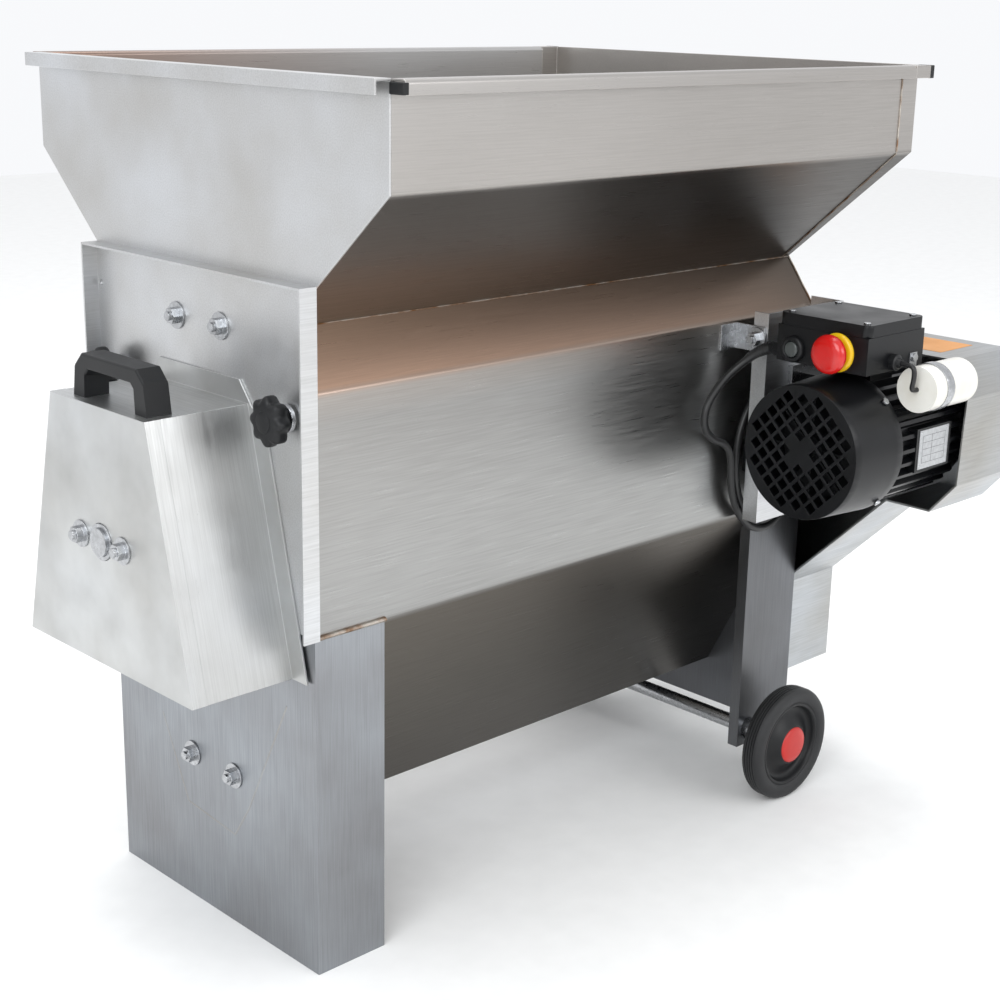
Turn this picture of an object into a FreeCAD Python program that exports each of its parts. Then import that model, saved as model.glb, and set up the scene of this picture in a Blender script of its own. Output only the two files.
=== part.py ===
import FreeCAD, Part
import math
import os
from FreeCAD import Vector as V

# A grape crusher and destemmer in folded stainless sheet. Grapes fall from the hopper
# on to a feed auger, which carries them into a perforated drum. The beater inside the
# drum throws the stems out at the left end, and the berries fall between two rollers.
# X runs along the machine to the drive end, Y from front to back, Z up. X = 0 is the
# middle of the left leg's sheet, Y = 0 the machine's own mid plane, Z = 0 the floor.

# ---- Sheet metal body ----
SHEET = 2.0
BODY_LENGTH = 670.0
BODY_HALF_WIDTH = 155.0
KNEE_Z = 319.0
SHOULDER_Z = 528.0
NECK_Z = 577.0
NECK_HALF_WIDTH = 118.0
OUTLET_Z = 95.0
OUTLET_HALF_WIDTH = 41.0
LEFT_X = SHEET / 2
RIGHT_X = BODY_LENGTH - SHEET

# ---- Hopper ----
HOPPER_HALF_WIDTH = 250.0
HOPPER_KNEE_Z = 696.0
RIM_Z = 781.0
RIM_WIDTH = 16.0
RIM_DROP = 12.0
HOPPER_OVERHANG = 15.0
HOPPER_SEAM_X = BODY_LENGTH - 12.0
HOPPER_END_X = BODY_LENGTH + HOPPER_OVERHANG

# ---- Legs ----
LEFT_LEG_DEPTH = 75.0
RIGHT_LEG_DEPTH = 83.0
RIGHT_LEG_Z = 44.0
LEG_LIP = 13.0

# ---- End plate and stem cover at the left end ----
PLATE_OVERLAP = 7.0
PLATE_TOP_Z = 617.0
PLATE_FLANGE = 15.0
SEAM_Z = 613.0
COVER_DEPTH = 102.0
COVER_TOP_Z = 507.0
COVER_BOTTOM_Z = 276.0
COVER_TOP_HALF = 72.0
COVER_BOTTOM_HALF = 128.0
COVER_FLANGE = 20.0
COVER_SEAM = 15.0
HANDLE_LENGTH = 112.0
HANDLE_WIDTH = 24.0
HANDLE_HEIGHT = 38.0
HANDLE_BAR = 13.0
HANDLE_Y = -7.0

# ---- Shafts and what turns on them ----
BEATER_Z = 389.0
FEED_Z = 567.0
ROLLER_Z = 151.0
ROLLER_PITCH = 66.0
ROLLER_RADIUS = 29.5
BEATER_SHAFT = 12.5
FEED_SHAFT = 10.0
ROLLER_SHAFT = 8.0
DRUM_RADIUS = 118.0
DRUM_HOLE = 11.0
OUTLET_RADIUS = 92.0
BEATER_RADIUS = 106.0
AUGER_RADIUS = 45.0
INLET_X = 430.0
RUNNING_FIT = 0.05
CLEARANCE = 0.3

# ---- Drive at the right end ----
BEARING_DEPTH = 14.0
FEED_CHAIN_X = BODY_LENGTH + 28.0
ROLLER_CHAIN_X = BODY_LENGTH + 40.0
CHAIN_WIDTH = 6.0
CHAIN_HEIGHT = 6.0
DRIVE_SPROCKET = 20.0
FEED_SPROCKET = 60.0
ROLLER_SPROCKET = 40.0
BELT_X = BODY_LENGTH + 58.0
BELT_WIDTH = 10.0
BELT_HEIGHT = 8.0
MOTOR_PULLEY = 32.0
BEATER_PULLEY = 96.0
PULLEY_RIM = 5.0
GEAR_X = BODY_LENGTH + 15.0
GEAR_WIDTH = 10.0
GEAR_TEETH = 22
GUARD_DEPTH = 102.0

# ---- Motor ----
MOTOR_Y = -BODY_HALF_WIDTH - 117.0
MOTOR_Z = BEATER_Z + 30.6
COWL_X = BODY_LENGTH - 170.0
COWL_LENGTH = 72.0
COWL_FRONT_RADIUS = 66.3
COWL_REAR_RADIUS = 70.5
STATOR_LENGTH = 118.0
STATOR_RADIUS = 59.0
FIN_RADIUS = 66.5
FIN_COUNT = 30
SHAFT_HEIGHT = 71.0
MOTOR_SHAFT = 7.0
BASE_PLATE = 6.0
PLATE_X = BODY_LENGTH - 129.0
PLATE_Z0 = KNEE_Z + 3.0
PLATE_Z1 = SHOULDER_Z + 12.0
STATOR_X = COWL_X + COWL_LENGTH
SHIELD_X = STATOR_X + STATOR_LENGTH
PLATE_Y = MOTOR_Y + SHAFT_HEIGHT + BASE_PLATE

# ---- Control box, capacitor ----
BOX_LENGTH = 94.2
BOX_WIDTH = 105.5
BOX_HEIGHT = 48.0
BOX_X0 = COWL_X + 25.8
BOX_X1 = BOX_X0 + BOX_LENGTH
BOX_Y0 = MOTOR_Y - 52.0
BOX_Y1 = BOX_Y0 + BOX_WIDTH
BOX_Z0 = MOTOR_Z + FIN_RADIUS + 13.9
BOX_Z1 = BOX_Z0 + BOX_HEIGHT
BOX_WALL = 3.0
BOX_LID = 12.0
START_Y = BOX_Y1 - 20.1
START_Z = BOX_Z0 + 13.3
STOP_Y = BOX_Y0 + 34.2
STOP_Z = BOX_Z0 + 17.9
CAP_RADIUS = 22.5
CAP_Y = BOX_Y0 - CAP_RADIUS - 0.5
CAP_Z = BOX_Z0 - 16.0
CAP_X = BOX_X0 + 43.2
CAP_LENGTH = 84.0

# ---- Wheels ----
WHEEL_X = BODY_LENGTH - 67.0
WHEEL_RADIUS = 62.5
WHEEL_WIDTH = 24.0
WHEEL_OUT_Y = BODY_HALF_WIDTH + 62.0
AXLE_RADIUS = 8.0
TYRE_DEPTH = 16.0

# ---- Fasteners ----
M8 = 4.0
NUT_RADIUS = 7.5
WASHER_RADIUS = 12.0
BOLT_PITCH = 65.0
KNOB_Y = 127.0
KNOB_Z = COVER_TOP_Z - 2.0
KNOB_RADIUS = 21.5

# ---- Power cord ----
CORD_RADIUS = 4.0

DIRECTION = {"x": V(1, 0, 0), "y": V(0, 1, 0), "z": V(0, 0, 1)}


# ---- Geometry helpers ----
def at(axis, place, a, b):
    """The point at PLACE along AXIS, with a and b along the other two in X, Y, Z order."""
    if axis == "x":
        return V(place, a, b)
    if axis == "y":
        return V(a, place, b)
    return V(a, b, place)


def box(x0, x1, y0, y1, z0, z1):
    return Part.makeBox(x1 - x0, y1 - y0, z1 - z0, V(x0, y0, z0))


def rod(axis, start, end, a, b, radius):
    return Part.makeCylinder(radius, end - start, at(axis, start, a, b), DIRECTION[axis])


def ring(axis, start, end, a, b, outer, inner):
    return rod(axis, start, end, a, b, outer).cut(rod(axis, start - 1, end + 1, a, b, inner))


def cone(axis, start, end, a, b, radius0, radius1):
    return Part.makeCone(radius0, radius1, end - start, at(axis, start, a, b), DIRECTION[axis])


def prism(axis, start, end, outline):
    """A closed outline pushed along an axis."""
    corners = [at(axis, start, a, b) for a, b in outline]
    face = Part.Face(Part.makePolygon(corners + corners[:1]))
    return face.extrude(DIRECTION[axis] * (end - start))


def fuse(*shapes):
    whole = shapes[0]
    if len(shapes) > 1:
        whole = whole.multiFuse(list(shapes[1:]))
    return whole.removeSplitter()


def mirror(shape):
    return shape.mirror(V(0, 0, 0), V(0, 1, 0))


def both_sides(*shapes):
    """The shapes and their mirror images behind the mid plane, as separate solids."""
    return Part.makeCompound(list(shapes) + [mirror(shape) for shape in shapes])


def offset(path, distance):
    """An open path moved to its right-hand side, with mitred corners."""
    normals = []
    for (a0, b0), (a1, b1) in zip(path, path[1:]):
        length = math.hypot(a1 - a0, b1 - b0)
        normals.append(((b1 - b0) / length, -(a1 - a0) / length))
    moved = []
    for i, (a, b) in enumerate(path):
        before = normals[max(i - 1, 0)]
        after = normals[min(i, len(normals) - 1)]
        scale = distance / (1 + before[0] * after[0] + before[1] * after[1])
        moved.append((a + (before[0] + after[0]) * scale, b + (before[1] + after[1]) * scale))
    return moved


def folded(axis, start, end, path, thickness=SHEET):
    """Folded sheet: the path is one face, and the metal lies on its right-hand side."""
    return prism(axis, start, end, path + offset(path, thickness)[::-1])


def lengthened(path, extra, first=False, last=False):
    """The path with its first or last run made longer, so that a level cut can trim it."""
    longer = list(path)
    for wanted, i, j in ((first, 0, 1), (last, -1, -2)):
        if wanted:
            (a, b), (c, d) = path[i], path[j]
            share = extra / math.hypot(a - c, b - d)
            longer[i] = (a + (a - c) * share, b + (b - d) * share)
    return longer


def between(shape, z0, z1):
    """Only the part of a shape between two levels."""
    reach = 2000.0
    return shape.common(box(-reach, reach, -reach, reach, z0, z1))


def hexagon(axis, start, end, a, b, radius):
    corners = []
    for i in range(6):
        angle = math.radians(60 * i)
        corners.append((a + radius * math.cos(angle), b + radius * math.sin(angle)))
    return prism(axis, start, end, corners)


def bolt(x_head, x_nut, y, z, way=1):
    """An M8 bolt along X: washer and nut outside, shank through, hexagon head inside."""
    washer = rod("x", min(x_head, x_head - way * 1.6), max(x_head, x_head - way * 1.6), y, z, WASHER_RADIUS)
    nut_ends = sorted((x_head - way * 1.6, x_head - way * 8.1))
    nut = hexagon("x", nut_ends[0], nut_ends[1], y, z, NUT_RADIUS)
    tip_ends = sorted((x_head - way * 11.0, x_nut))
    shank = rod("x", tip_ends[0], tip_ends[1], y, z, M8)
    head_ends = sorted((x_nut, x_nut + way * 5.5))
    head = hexagon("x", head_ends[0], head_ends[1], y, z, NUT_RADIUS)
    return fuse(washer, nut, shank, head)


def hole_pair(x0, x1, z, radius=M8 + CLEARANCE, pitch=BOLT_PITCH):
    return both_sides(rod("x", x0, x1, -pitch / 2, z, radius))


# ---- Outlines shared by the sheet parts, front half, from the bottom up ----
BODY_PATH = [(-OUTLET_HALF_WIDTH, OUTLET_Z), (-BODY_HALF_WIDTH, KNEE_Z),
             (-BODY_HALF_WIDTH, SHOULDER_Z), (-NECK_HALF_WIDTH, NECK_Z)]
HOPPER_PATH = [(-NECK_HALF_WIDTH, NECK_Z), (-HOPPER_HALF_WIDTH, HOPPER_KNEE_Z),
               (-HOPPER_HALF_WIDTH, RIM_Z)]


def across(path):
    """A front half outline closed with its mirror image."""
    return path + [(-a, b) for a, b in path[::-1]]


def body_front_wall():
    path = lengthened(BODY_PATH, 10, first=True, last=True)
    return between(folded("x", LEFT_X, RIGHT_X, path), OUTLET_Z, NECK_Z)


def hopper_front_wall():
    rim = [(-HOPPER_HALF_WIDTH, RIM_Z - SHEET), (-HOPPER_HALF_WIDTH - RIM_WIDTH + SHEET, RIM_Z - SHEET),
           (-HOPPER_HALF_WIDTH - RIM_WIDTH + SHEET, RIM_Z - RIM_DROP)]
    path = lengthened(HOPPER_PATH[:2] + rim, 10, first=True)
    return between(folded("x", LEFT_X, HOPPER_SEAM_X, path), NECK_Z, RIM_Z)


def hopper_left_end():
    slope = (HOPPER_HALF_WIDTH - NECK_HALF_WIDTH) / (HOPPER_KNEE_Z - NECK_Z)
    seam_half = NECK_HALF_WIDTH + (SEAM_Z - NECK_Z) * slope
    plate = prism("x", -LEFT_X, LEFT_X, across([(-seam_half, SEAM_Z)] + HOPPER_PATH[1:]))
    rim = folded("y", -HOPPER_HALF_WIDTH, HOPPER_HALF_WIDTH,
                 [(-LEFT_X, RIM_Z - SHEET), (-RIM_WIDTH + SHEET + LEFT_X, RIM_Z - SHEET),
                  (-RIM_WIDTH + SHEET + LEFT_X, RIM_Z - RIM_DROP)])
    return fuse(plate, rim)


def hopper_right_end():
    end_path = [(BODY_LENGTH, NECK_Z), (HOPPER_END_X, HOPPER_KNEE_Z), (HOPPER_END_X, RIM_Z)]
    inner_end = offset(lengthened(end_path, 10, first=True, last=True), -SHEET)
    inner_side = offset(lengthened(HOPPER_PATH, 10, first=True, last=True), SHEET)
    start = HOPPER_SEAM_X
    outer = prism("y", -HOPPER_HALF_WIDTH, HOPPER_HALF_WIDTH, end_path + [(start, RIM_Z), (start, NECK_Z)])
    outer = outer.common(prism("x", start, HOPPER_END_X, across(HOPPER_PATH)))
    reach = HOPPER_HALF_WIDTH + SHEET
    inner = prism("y", -reach, reach, inner_end + [(start - SHEET, inner_end[-1][1]),
                                                  (start - SHEET, inner_end[0][1])])
    inner = inner.common(prism("x", start - SHEET, HOPPER_END_X, across(inner_side)))
    rim_path = [(-HOPPER_HALF_WIDTH, RIM_Z - SHEET), (-HOPPER_HALF_WIDTH - RIM_WIDTH + SHEET, RIM_Z - SHEET),
                (-HOPPER_HALF_WIDTH - RIM_WIDTH + SHEET, RIM_Z - RIM_DROP)]
    rim = folded("x", start, HOPPER_END_X - SHEET, rim_path)
    return fuse(outer.cut(inner), rim, mirror(rim))


def wall_holes(x0, x1):
    """Openings that the left end wall and its end plate share."""
    outlet = rod("x", x0, x1, 0, BEATER_Z, OUTLET_RADIUS)
    knobs = both_sides(rod("x", x0, x1, -KNOB_Y, KNOB_Z, M8 + CLEARANCE))
    return Part.makeCompound([outlet, knobs, hole_pair(x0, x1, FEED_Z)])


def body_left_end_wall():
    slope = (HOPPER_HALF_WIDTH - NECK_HALF_WIDTH) / (HOPPER_KNEE_Z - NECK_Z)
    half = NECK_HALF_WIDTH + (SEAM_Z - NECK_Z) * slope
    plate = box(-LEFT_X, LEFT_X, -half, half, KNEE_Z, SEAM_Z)
    return plate.cut(wall_holes(-LEFT_X - 1, LEFT_X + 1))


def body_right_end_wall():
    plate = prism("x", RIGHT_X, BODY_LENGTH, across(BODY_PATH[1:]))
    for z, shaft in ((BEATER_Z, BEATER_SHAFT), (FEED_Z, FEED_SHAFT)):
        plate = plate.cut(rod("x", RIGHT_X - 1, BODY_LENGTH + 1, 0, z, shaft + 2))
        plate = plate.cut(hole_pair(RIGHT_X - 1, BODY_LENGTH + 1, z))
    return plate


def trough_block():
    """The room that the trough takes, for scribing what is welded against it."""
    return prism("x", LEFT_X, RIGHT_X, across(BODY_PATH[:2]))


def left_leg_panel():
    web = box(-LEFT_X, LEFT_X, -BODY_HALF_WIDTH, BODY_HALF_WIDTH, 0, KNEE_Z)
    web = web.cut(hole_pair(-LEFT_X - 1, LEFT_X + 1, ROLLER_Z, pitch=ROLLER_PITCH))
    flange = box(LEFT_X, LEFT_LEG_DEPTH, -BODY_HALF_WIDTH, -BODY_HALF_WIDTH + SHEET, 0, KNEE_Z)
    flange = flange.cut(trough_block())
    return fuse(web, flange, mirror(flange))


def right_leg_panel():
    x0 = RIGHT_X - RIGHT_LEG_DEPTH
    web = box(RIGHT_X, BODY_LENGTH, -BODY_HALF_WIDTH, BODY_HALF_WIDTH, RIGHT_LEG_Z, KNEE_Z)
    for side in (-1, 1):
        web = web.cut(rod("x", RIGHT_X - 1, BODY_LENGTH + 1, side * ROLLER_PITCH / 2, ROLLER_Z, ROLLER_SHAFT + 2))
    path = [(RIGHT_X, -BODY_HALF_WIDTH), (x0, -BODY_HALF_WIDTH), (x0, -BODY_HALF_WIDTH + LEG_LIP)]
    flange = folded("z", RIGHT_LEG_Z, KNEE_Z, path).cut(trough_block())
    flange = flange.cut(rod("y", -BODY_HALF_WIDTH - 1, -BODY_HALF_WIDTH + LEG_LIP,
                            WHEEL_X, WHEEL_RADIUS, AXLE_RADIUS + CLEARANCE))
    return fuse(web, flange, mirror(flange))


def feed_trough():
    """The half pipe under the feed auger, with wings that reach the hopper's slopes."""
    radius = AUGER_RADIUS + 4
    path = [(-160, FEED_Z + 42)]
    for i in range(13):
        angle = math.radians(180 + 15 * i)
        path.append((radius * math.cos(angle), FEED_Z + radius * math.sin(angle)))
    path.append((160, FEED_Z + 42))
    sheet = folded("x", LEFT_X, INLET_X, path)
    inside = across(offset(lengthened(BODY_PATH[1:3] + HOPPER_PATH[:2], 10, last=True), SHEET))
    return sheet.common(prism("x", LEFT_X, INLET_X, inside))


# ---- End plate and stem cover ----
def end_plate():
    x1 = -LEFT_X
    x0 = x1 - SHEET
    half = BODY_HALF_WIDTH + PLATE_OVERLAP
    plate = box(x0, x1, -half, half, KNEE_Z, PLATE_TOP_Z).cut(wall_holes(x0 - 1, x1 + 1))
    top = box(x0 - PLATE_FLANGE, x0, -half, half, PLATE_TOP_Z - SHEET, PLATE_TOP_Z)
    side = box(x0 - PLATE_FLANGE, x0, -half, -half + SHEET, KNEE_Z, PLATE_TOP_Z)
    sight = rod("x", x0 - 1, x1 + 1, half - 8, PLATE_TOP_Z - 37, 3)
    return fuse(plate, top, side, mirror(side)).cut(sight)


PAN_X = -LEFT_X - SHEET
COVER_X1 = PAN_X
COVER_X0 = COVER_X1 - SHEET - COVER_DEPTH
COVER_PATH = [(-COVER_BOTTOM_HALF, COVER_BOTTOM_Z), (-COVER_TOP_HALF, COVER_TOP_Z)]


def stem_cover():
    outer = prism("x", COVER_X0, COVER_X1, across(COVER_PATH))
    inner_path = offset(lengthened(COVER_PATH, 40, first=True), SHEET)
    inner_path[-1] = (inner_path[-1][0] + 0.5, COVER_TOP_Z - SHEET)
    inner = prism("x", COVER_X0 + SHEET, COVER_X1 + SHEET, across(inner_path))
    side = (COVER_BOTTOM_HALF - COVER_TOP_HALF) / (COVER_TOP_Z - COVER_BOTTOM_Z)
    ear_z = KNOB_Z - 27
    ear_y = COVER_BOTTOM_HALF + COVER_FLANGE - (ear_z - COVER_BOTTOM_Z) * side
    edge = [(-COVER_BOTTOM_HALF - COVER_FLANGE, COVER_BOTTOM_Z), (-ear_y, ear_z),
            (-KNOB_Y + 3, KNOB_Z - 9), (-KNOB_Y - 6, KNOB_Z - 7), (-KNOB_Y - 9, KNOB_Z),
            (-KNOB_Y - 6, KNOB_Z + 7), (-KNOB_Y + 3, KNOB_Z + 9), (-COVER_TOP_HALF - 6, COVER_TOP_Z - 3),
            (-COVER_TOP_HALF + 12, COVER_TOP_Z + COVER_FLANGE - 1)]
    flange = prism("x", COVER_X1 - SHEET, COVER_X1, across(edge))
    seam = prism("x", COVER_X0, COVER_X0 + COVER_SEAM, offset(COVER_PATH, -1) + COVER_PATH[::-1])
    shell = fuse(outer, flange, seam, mirror(seam)).cut(inner)
    holes = [rod("x", COVER_X0 - 1, COVER_X0 + 9, 0, BEATER_Z, 16 + CLEARANCE),
             hole_pair(COVER_X0 - 2, COVER_X0 + 9, BEATER_Z),
             both_sides(rod("x", COVER_X1 - 9, COVER_X1 + 1, -KNOB_Y, KNOB_Z, M8 + CLEARANCE))]
    return shell.cut(Part.makeCompound(holes))


def cover_handle():
    """A bridge handle: two feet and a bar with softened corners."""
    y0 = HANDLE_Y - HANDLE_LENGTH / 2
    y1 = HANDLE_Y + HANDLE_LENGTH / 2
    x0 = COVER_X0 + 9
    z0 = COVER_TOP_Z
    z1 = COVER_TOP_Z + HANDLE_HEIGHT
    outer = [(y0, z0), (y0 + 4, z1 - 10), (y0 + 14, z1), (y1 - 14, z1), (y1 - 4, z1 - 10), (y1, z0)]
    inner = [(y0 + 17, z0 - 1), (y0 + 18, z1 - HANDLE_BAR - 6), (y0 + 24, z1 - HANDLE_BAR),
             (y1 - 24, z1 - HANDLE_BAR), (y1 - 18, z1 - HANDLE_BAR - 6), (y1 - 17, z0 - 1)]
    bridge = prism("x", x0, x0 + HANDLE_WIDTH, outer).cut(prism("x", x0 - 1, x0 + HANDLE_WIDTH + 1, inner))
    long_edges = [edge for edge in bridge.Edges if abs(edge.tangentAt(edge.FirstParameter).x) < 0.5
                  and edge.BoundBox.ZMin > z0 + 1]
    return bridge.makeFillet(2.0, long_edges)


def flange_bearing(x0, x1, z, shaft, y=0.0, pitch=BOLT_PITCH):
    """A two-hole flange unit: a lozenge plate between x0 and x1 with the shaft's bore."""
    half = pitch / 2
    outline = [(y - half - 11, z - 8), (y - 14, z - 23), (y + 14, z - 23), (y + half + 11, z - 8),
               (y + half + 11, z + 8), (y + 14, z + 23), (y - 14, z + 23), (y - half - 11, z + 8)]
    plate = prism("x", x0, x1, outline)
    for side in (-1, 1):
        plate = plate.cut(rod("x", x0 - 1, x1 + 1, y + side * half, z, M8 + CLEARANCE))
    return plate.cut(rod("x", x0 - 1, x1 + 1, y, z, shaft + RUNNING_FIT))


def cover_bearing():
    x0 = COVER_X0 + SHEET
    plate = flange_bearing(x0, x0 + 10, BEATER_Z, BEATER_SHAFT)
    nose = ring("x", COVER_X0 - 1.5, x0 + 1, 0, BEATER_Z, 16, BEATER_SHAFT + RUNNING_FIT)
    return fuse(plate, nose)


def cover_bearing_bolts():
    return Part.makeCompound([bolt(COVER_X0, COVER_X0 + SHEET + 10, side * BOLT_PITCH / 2, BEATER_Z)
                              for side in (-1, 1)])


# ---- Star knobs ----
KNOB_X0 = COVER_X1 - SHEET - 25


def star_knob(side):
    y = side * KNOB_Y
    outline = []
    for i in range(64):
        angle = 2 * math.pi * i / 64
        radius = KNOB_RADIUS - 1.6 + 1.6 * math.cos(8 * angle)
        outline.append((y + radius * math.cos(angle), KNOB_Z + radius * math.sin(angle)))
    head = prism("x", KNOB_X0, KNOB_X0 + 14, outline)
    neck = cone("x", KNOB_X0 + 14, KNOB_X0 + 21, y, KNOB_Z, 13, 10)
    disc = rod("x", KNOB_X0 - 0.8, KNOB_X0, y, KNOB_Z, 9)
    return fuse(head, neck, disc).cut(rod("x", KNOB_X0 + 4, KNOB_X0 + 22, y, KNOB_Z, M8))


def knob_stud(side):
    y = side * KNOB_Y
    stud = rod("x", KNOB_X0 + 4, LEFT_X + 8, y, KNOB_Z, M8)
    washer = rod("x", KNOB_X0 + 21, KNOB_X0 + 25 - 0.1, y, KNOB_Z, WASHER_RADIUS)
    return fuse(stud, washer)


def knob_nuts():
    nut = hexagon("x", LEFT_X, LEFT_X + 6.5, -KNOB_Y, KNOB_Z, NUT_RADIUS)
    return both_sides(nut.cut(rod("x", LEFT_X - 1, LEFT_X + 8, -KNOB_Y, KNOB_Z, M8 + RUNNING_FIT)))


# ---- Drum, beater, feed auger and rollers ----
DRUM_X0 = LEFT_X + 3
DRUM_X1 = RIGHT_X - 3


def drum():
    shell = ring("x", DRUM_X0, DRUM_X1, 0, BEATER_Z, DRUM_RADIUS, DRUM_RADIUS - SHEET)
    rows = 17
    pitch = (DRUM_X1 - DRUM_X0 - 60) / (rows - 1)
    holes = []
    for row in range(rows):
        x = DRUM_X0 + 30 + row * pitch
        for i in range(5):
            hole = Part.makeCylinder(DRUM_HOLE, 2 * DRUM_RADIUS + 20, V(x, 0, BEATER_Z - DRUM_RADIUS - 10))
            hole.rotate(V(x, 0, BEATER_Z), V(1, 0, 0), 36 * i + 18 * (row % 2) + 9)
            holes.append(hole)
    shell = shell.cut(Part.makeCompound(holes))
    half = 0.62 * DRUM_RADIUS
    return shell.cut(box(INLET_X + 15, DRUM_X1 - 20, -half, half, BEATER_Z + 40, BEATER_Z + DRUM_RADIUS + 5))


def drum_ring(x0, x1):
    return ring("x", x0, x1, 0, BEATER_Z, DRUM_RADIUS + 5, DRUM_RADIUS + CLEARANCE)


def beater():
    """The shaft runs from the stem cover to the drive, with bent paddles in a helix."""
    shaft = rod("x", COVER_X0 - 4, BELT_X + 16, 0, BEATER_Z, BEATER_SHAFT)
    paddles = []
    count = 20
    pitch = (DRUM_X1 - DRUM_X0 - 60) / (count - 1)
    for i in range(count):
        x = DRUM_X0 + 30 + i * pitch
        arm = Part.makeCylinder(5, BEATER_RADIUS - 8, V(x, 0, BEATER_Z))
        blade = box(x - 14, x + 14, -2.5, 2.5, BEATER_Z + BEATER_RADIUS - 30, BEATER_Z + BEATER_RADIUS)
        blade.rotate(V(x, 0, BEATER_Z), V(0, 0, 1), 25)
        paddle = arm.fuse(blade)
        paddle.rotate(V(x, 0, BEATER_Z), V(1, 0, 0), 72 * i)
        paddles.append(paddle)
    return fuse(shaft, *paddles)


def feed_auger():
    """A shaft with a screw flight made of flat plates, each turned on from the last."""
    shaft = rod("x", LEFT_X + 1, FEED_CHAIN_X + 12, 0, FEED_Z, FEED_SHAFT)
    plates = []
    per_turn = 10
    turn_pitch = 80.0
    first_x = LEFT_X + BEARING_DEPTH + 32
    count = int((RIGHT_X - 25 - first_x) / turn_pitch * per_turn)
    tilt = math.degrees(math.atan(turn_pitch / (2 * math.pi * AUGER_RADIUS * 0.7)))
    width = 2 * AUGER_RADIUS * math.tan(math.pi / per_turn) + 3
    for i in range(count):
        x = first_x + i * turn_pitch / per_turn
        plate = box(x - 2, x + 2, -width / 2, width / 2, FEED_Z + FEED_SHAFT - 3, FEED_Z + AUGER_RADIUS - 3)
        plate.rotate(V(x, 0, FEED_Z), V(0, 0, 1), -tilt)
        plate.rotate(V(x, 0, FEED_Z), V(1, 0, 0), 360 * i / per_turn)
        plates.append(plate)
    return fuse(shaft, *plates)


def roller(side):
    """A lobed crushing roller on its own shaft; the left end turns on a fixed spigot."""
    y = side * ROLLER_PITCH / 2
    outline = []
    for i in range(72):
        angle = 2 * math.pi * i / 72
        radius = ROLLER_RADIUS - 2.5 + 2.5 * math.cos(9 * angle)
        outline.append((y + radius * math.cos(angle), ROLLER_Z + radius * math.sin(angle)))
    body = prism("x", LEFT_X + 10, RIGHT_X - 4, outline)
    shaft_end = ROLLER_CHAIN_X + 10 if side < 0 else GEAR_X + GEAR_WIDTH + 2
    shaft = rod("x", RIGHT_X - 10, shaft_end, y, ROLLER_Z, ROLLER_SHAFT)
    spigot = rod("x", LEFT_X, LEFT_X + 40, y, ROLLER_Z, ROLLER_SHAFT + RUNNING_FIT)
    return fuse(body, shaft).cut(spigot)


def roller_spigots():
    """Fixed spigots that the rollers' left ends turn on, bolted through the leg."""
    solids = []
    for side in (-1, 1):
        y = side * ROLLER_PITCH / 2
        pin = rod("x", LEFT_X, LEFT_X + 36, y, ROLLER_Z, ROLLER_SHAFT)
        collar = rod("x", LEFT_X, LEFT_X + 6, y, ROLLER_Z, ROLLER_SHAFT + 5)
        stud = rod("x", -LEFT_X - 11, LEFT_X + 1, y, ROLLER_Z, M8)
        washer = rod("x", -LEFT_X - 1.6, -LEFT_X, y, ROLLER_Z, WASHER_RADIUS)
        nut = hexagon("x", -LEFT_X - 8.1, -LEFT_X - 1.6, y, ROLLER_Z, NUT_RADIUS)
        solids.append(fuse(pin, collar, stud, washer, nut))
    return Part.makeCompound(solids)


def feed_left_bearing():
    """A blind flange unit inside the left wall, level with the hopper's neck."""
    return flange_bearing(LEFT_X, LEFT_X + BEARING_DEPTH, FEED_Z, FEED_SHAFT)


def feed_bearing_bolts():
    return Part.makeCompound([bolt(PAN_X, LEFT_X + BEARING_DEPTH, side * BOLT_PITCH / 2, FEED_Z)
                              for side in (-1, 1)])


def overhang_block():
    """The room outside the end wall that the hopper's leaning end takes."""
    corners = [(BODY_LENGTH, NECK_Z), (HOPPER_END_X, HOPPER_KNEE_Z), (BODY_LENGTH, HOPPER_KNEE_Z)]
    return prism("y", -HOPPER_HALF_WIDTH, HOPPER_HALF_WIDTH, corners)


def right_bearing(z, shaft):
    unit = flange_bearing(BODY_LENGTH, BODY_LENGTH + BEARING_DEPTH, z, shaft)
    return unit.cut(overhang_block())


def right_bearing_bolts():
    return Part.makeCompound([bolt(BODY_LENGTH + BEARING_DEPTH, RIGHT_X, side * BOLT_PITCH / 2, z, way=-1)
                              for z in (BEATER_Z, FEED_Z) for side in (-1, 1)])


def roller_bearing():
    """One block carries both roller shafts at the drive end."""
    half = ROLLER_PITCH / 2
    block = box(BODY_LENGTH, BODY_LENGTH + BEARING_DEPTH - 1, -half - 20, half + 20,
                ROLLER_Z - 20, ROLLER_Z + 20)
    for side in (-1, 1):
        block = block.cut(rod("x", BODY_LENGTH - 1, BODY_LENGTH + BEARING_DEPTH, side * half,
                              ROLLER_Z, ROLLER_SHAFT + RUNNING_FIT))
    return block


# ---- Drive train inside the guard ----
def toothed_outline(y, z, root, tip, teeth, phase=0.0):
    outline = []
    for i in range(teeth):
        for share, radius in ((-0.32, root), (-0.14, tip), (0.14, tip), (0.32, root)):
            angle = 2 * math.pi * (i + share + phase) / teeth
            outline.append((y + radius * math.cos(angle), z + radius * math.sin(angle)))
    return outline


def roller_gear(side):
    y = side * ROLLER_PITCH / 2
    pitch_radius = ROLLER_PITCH / 2
    phase = 0.0 if side < 0 else 0.5
    outline = toothed_outline(y, ROLLER_Z, pitch_radius - 3.2, pitch_radius + 2.4, GEAR_TEETH, phase)
    gear = prism("x", GEAR_X, GEAR_X + GEAR_WIDTH, outline)
    return gear.cut(rod("x", GEAR_X - 1, GEAR_X + GEAR_WIDTH + 1, y, ROLLER_Z, ROLLER_SHAFT))


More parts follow.
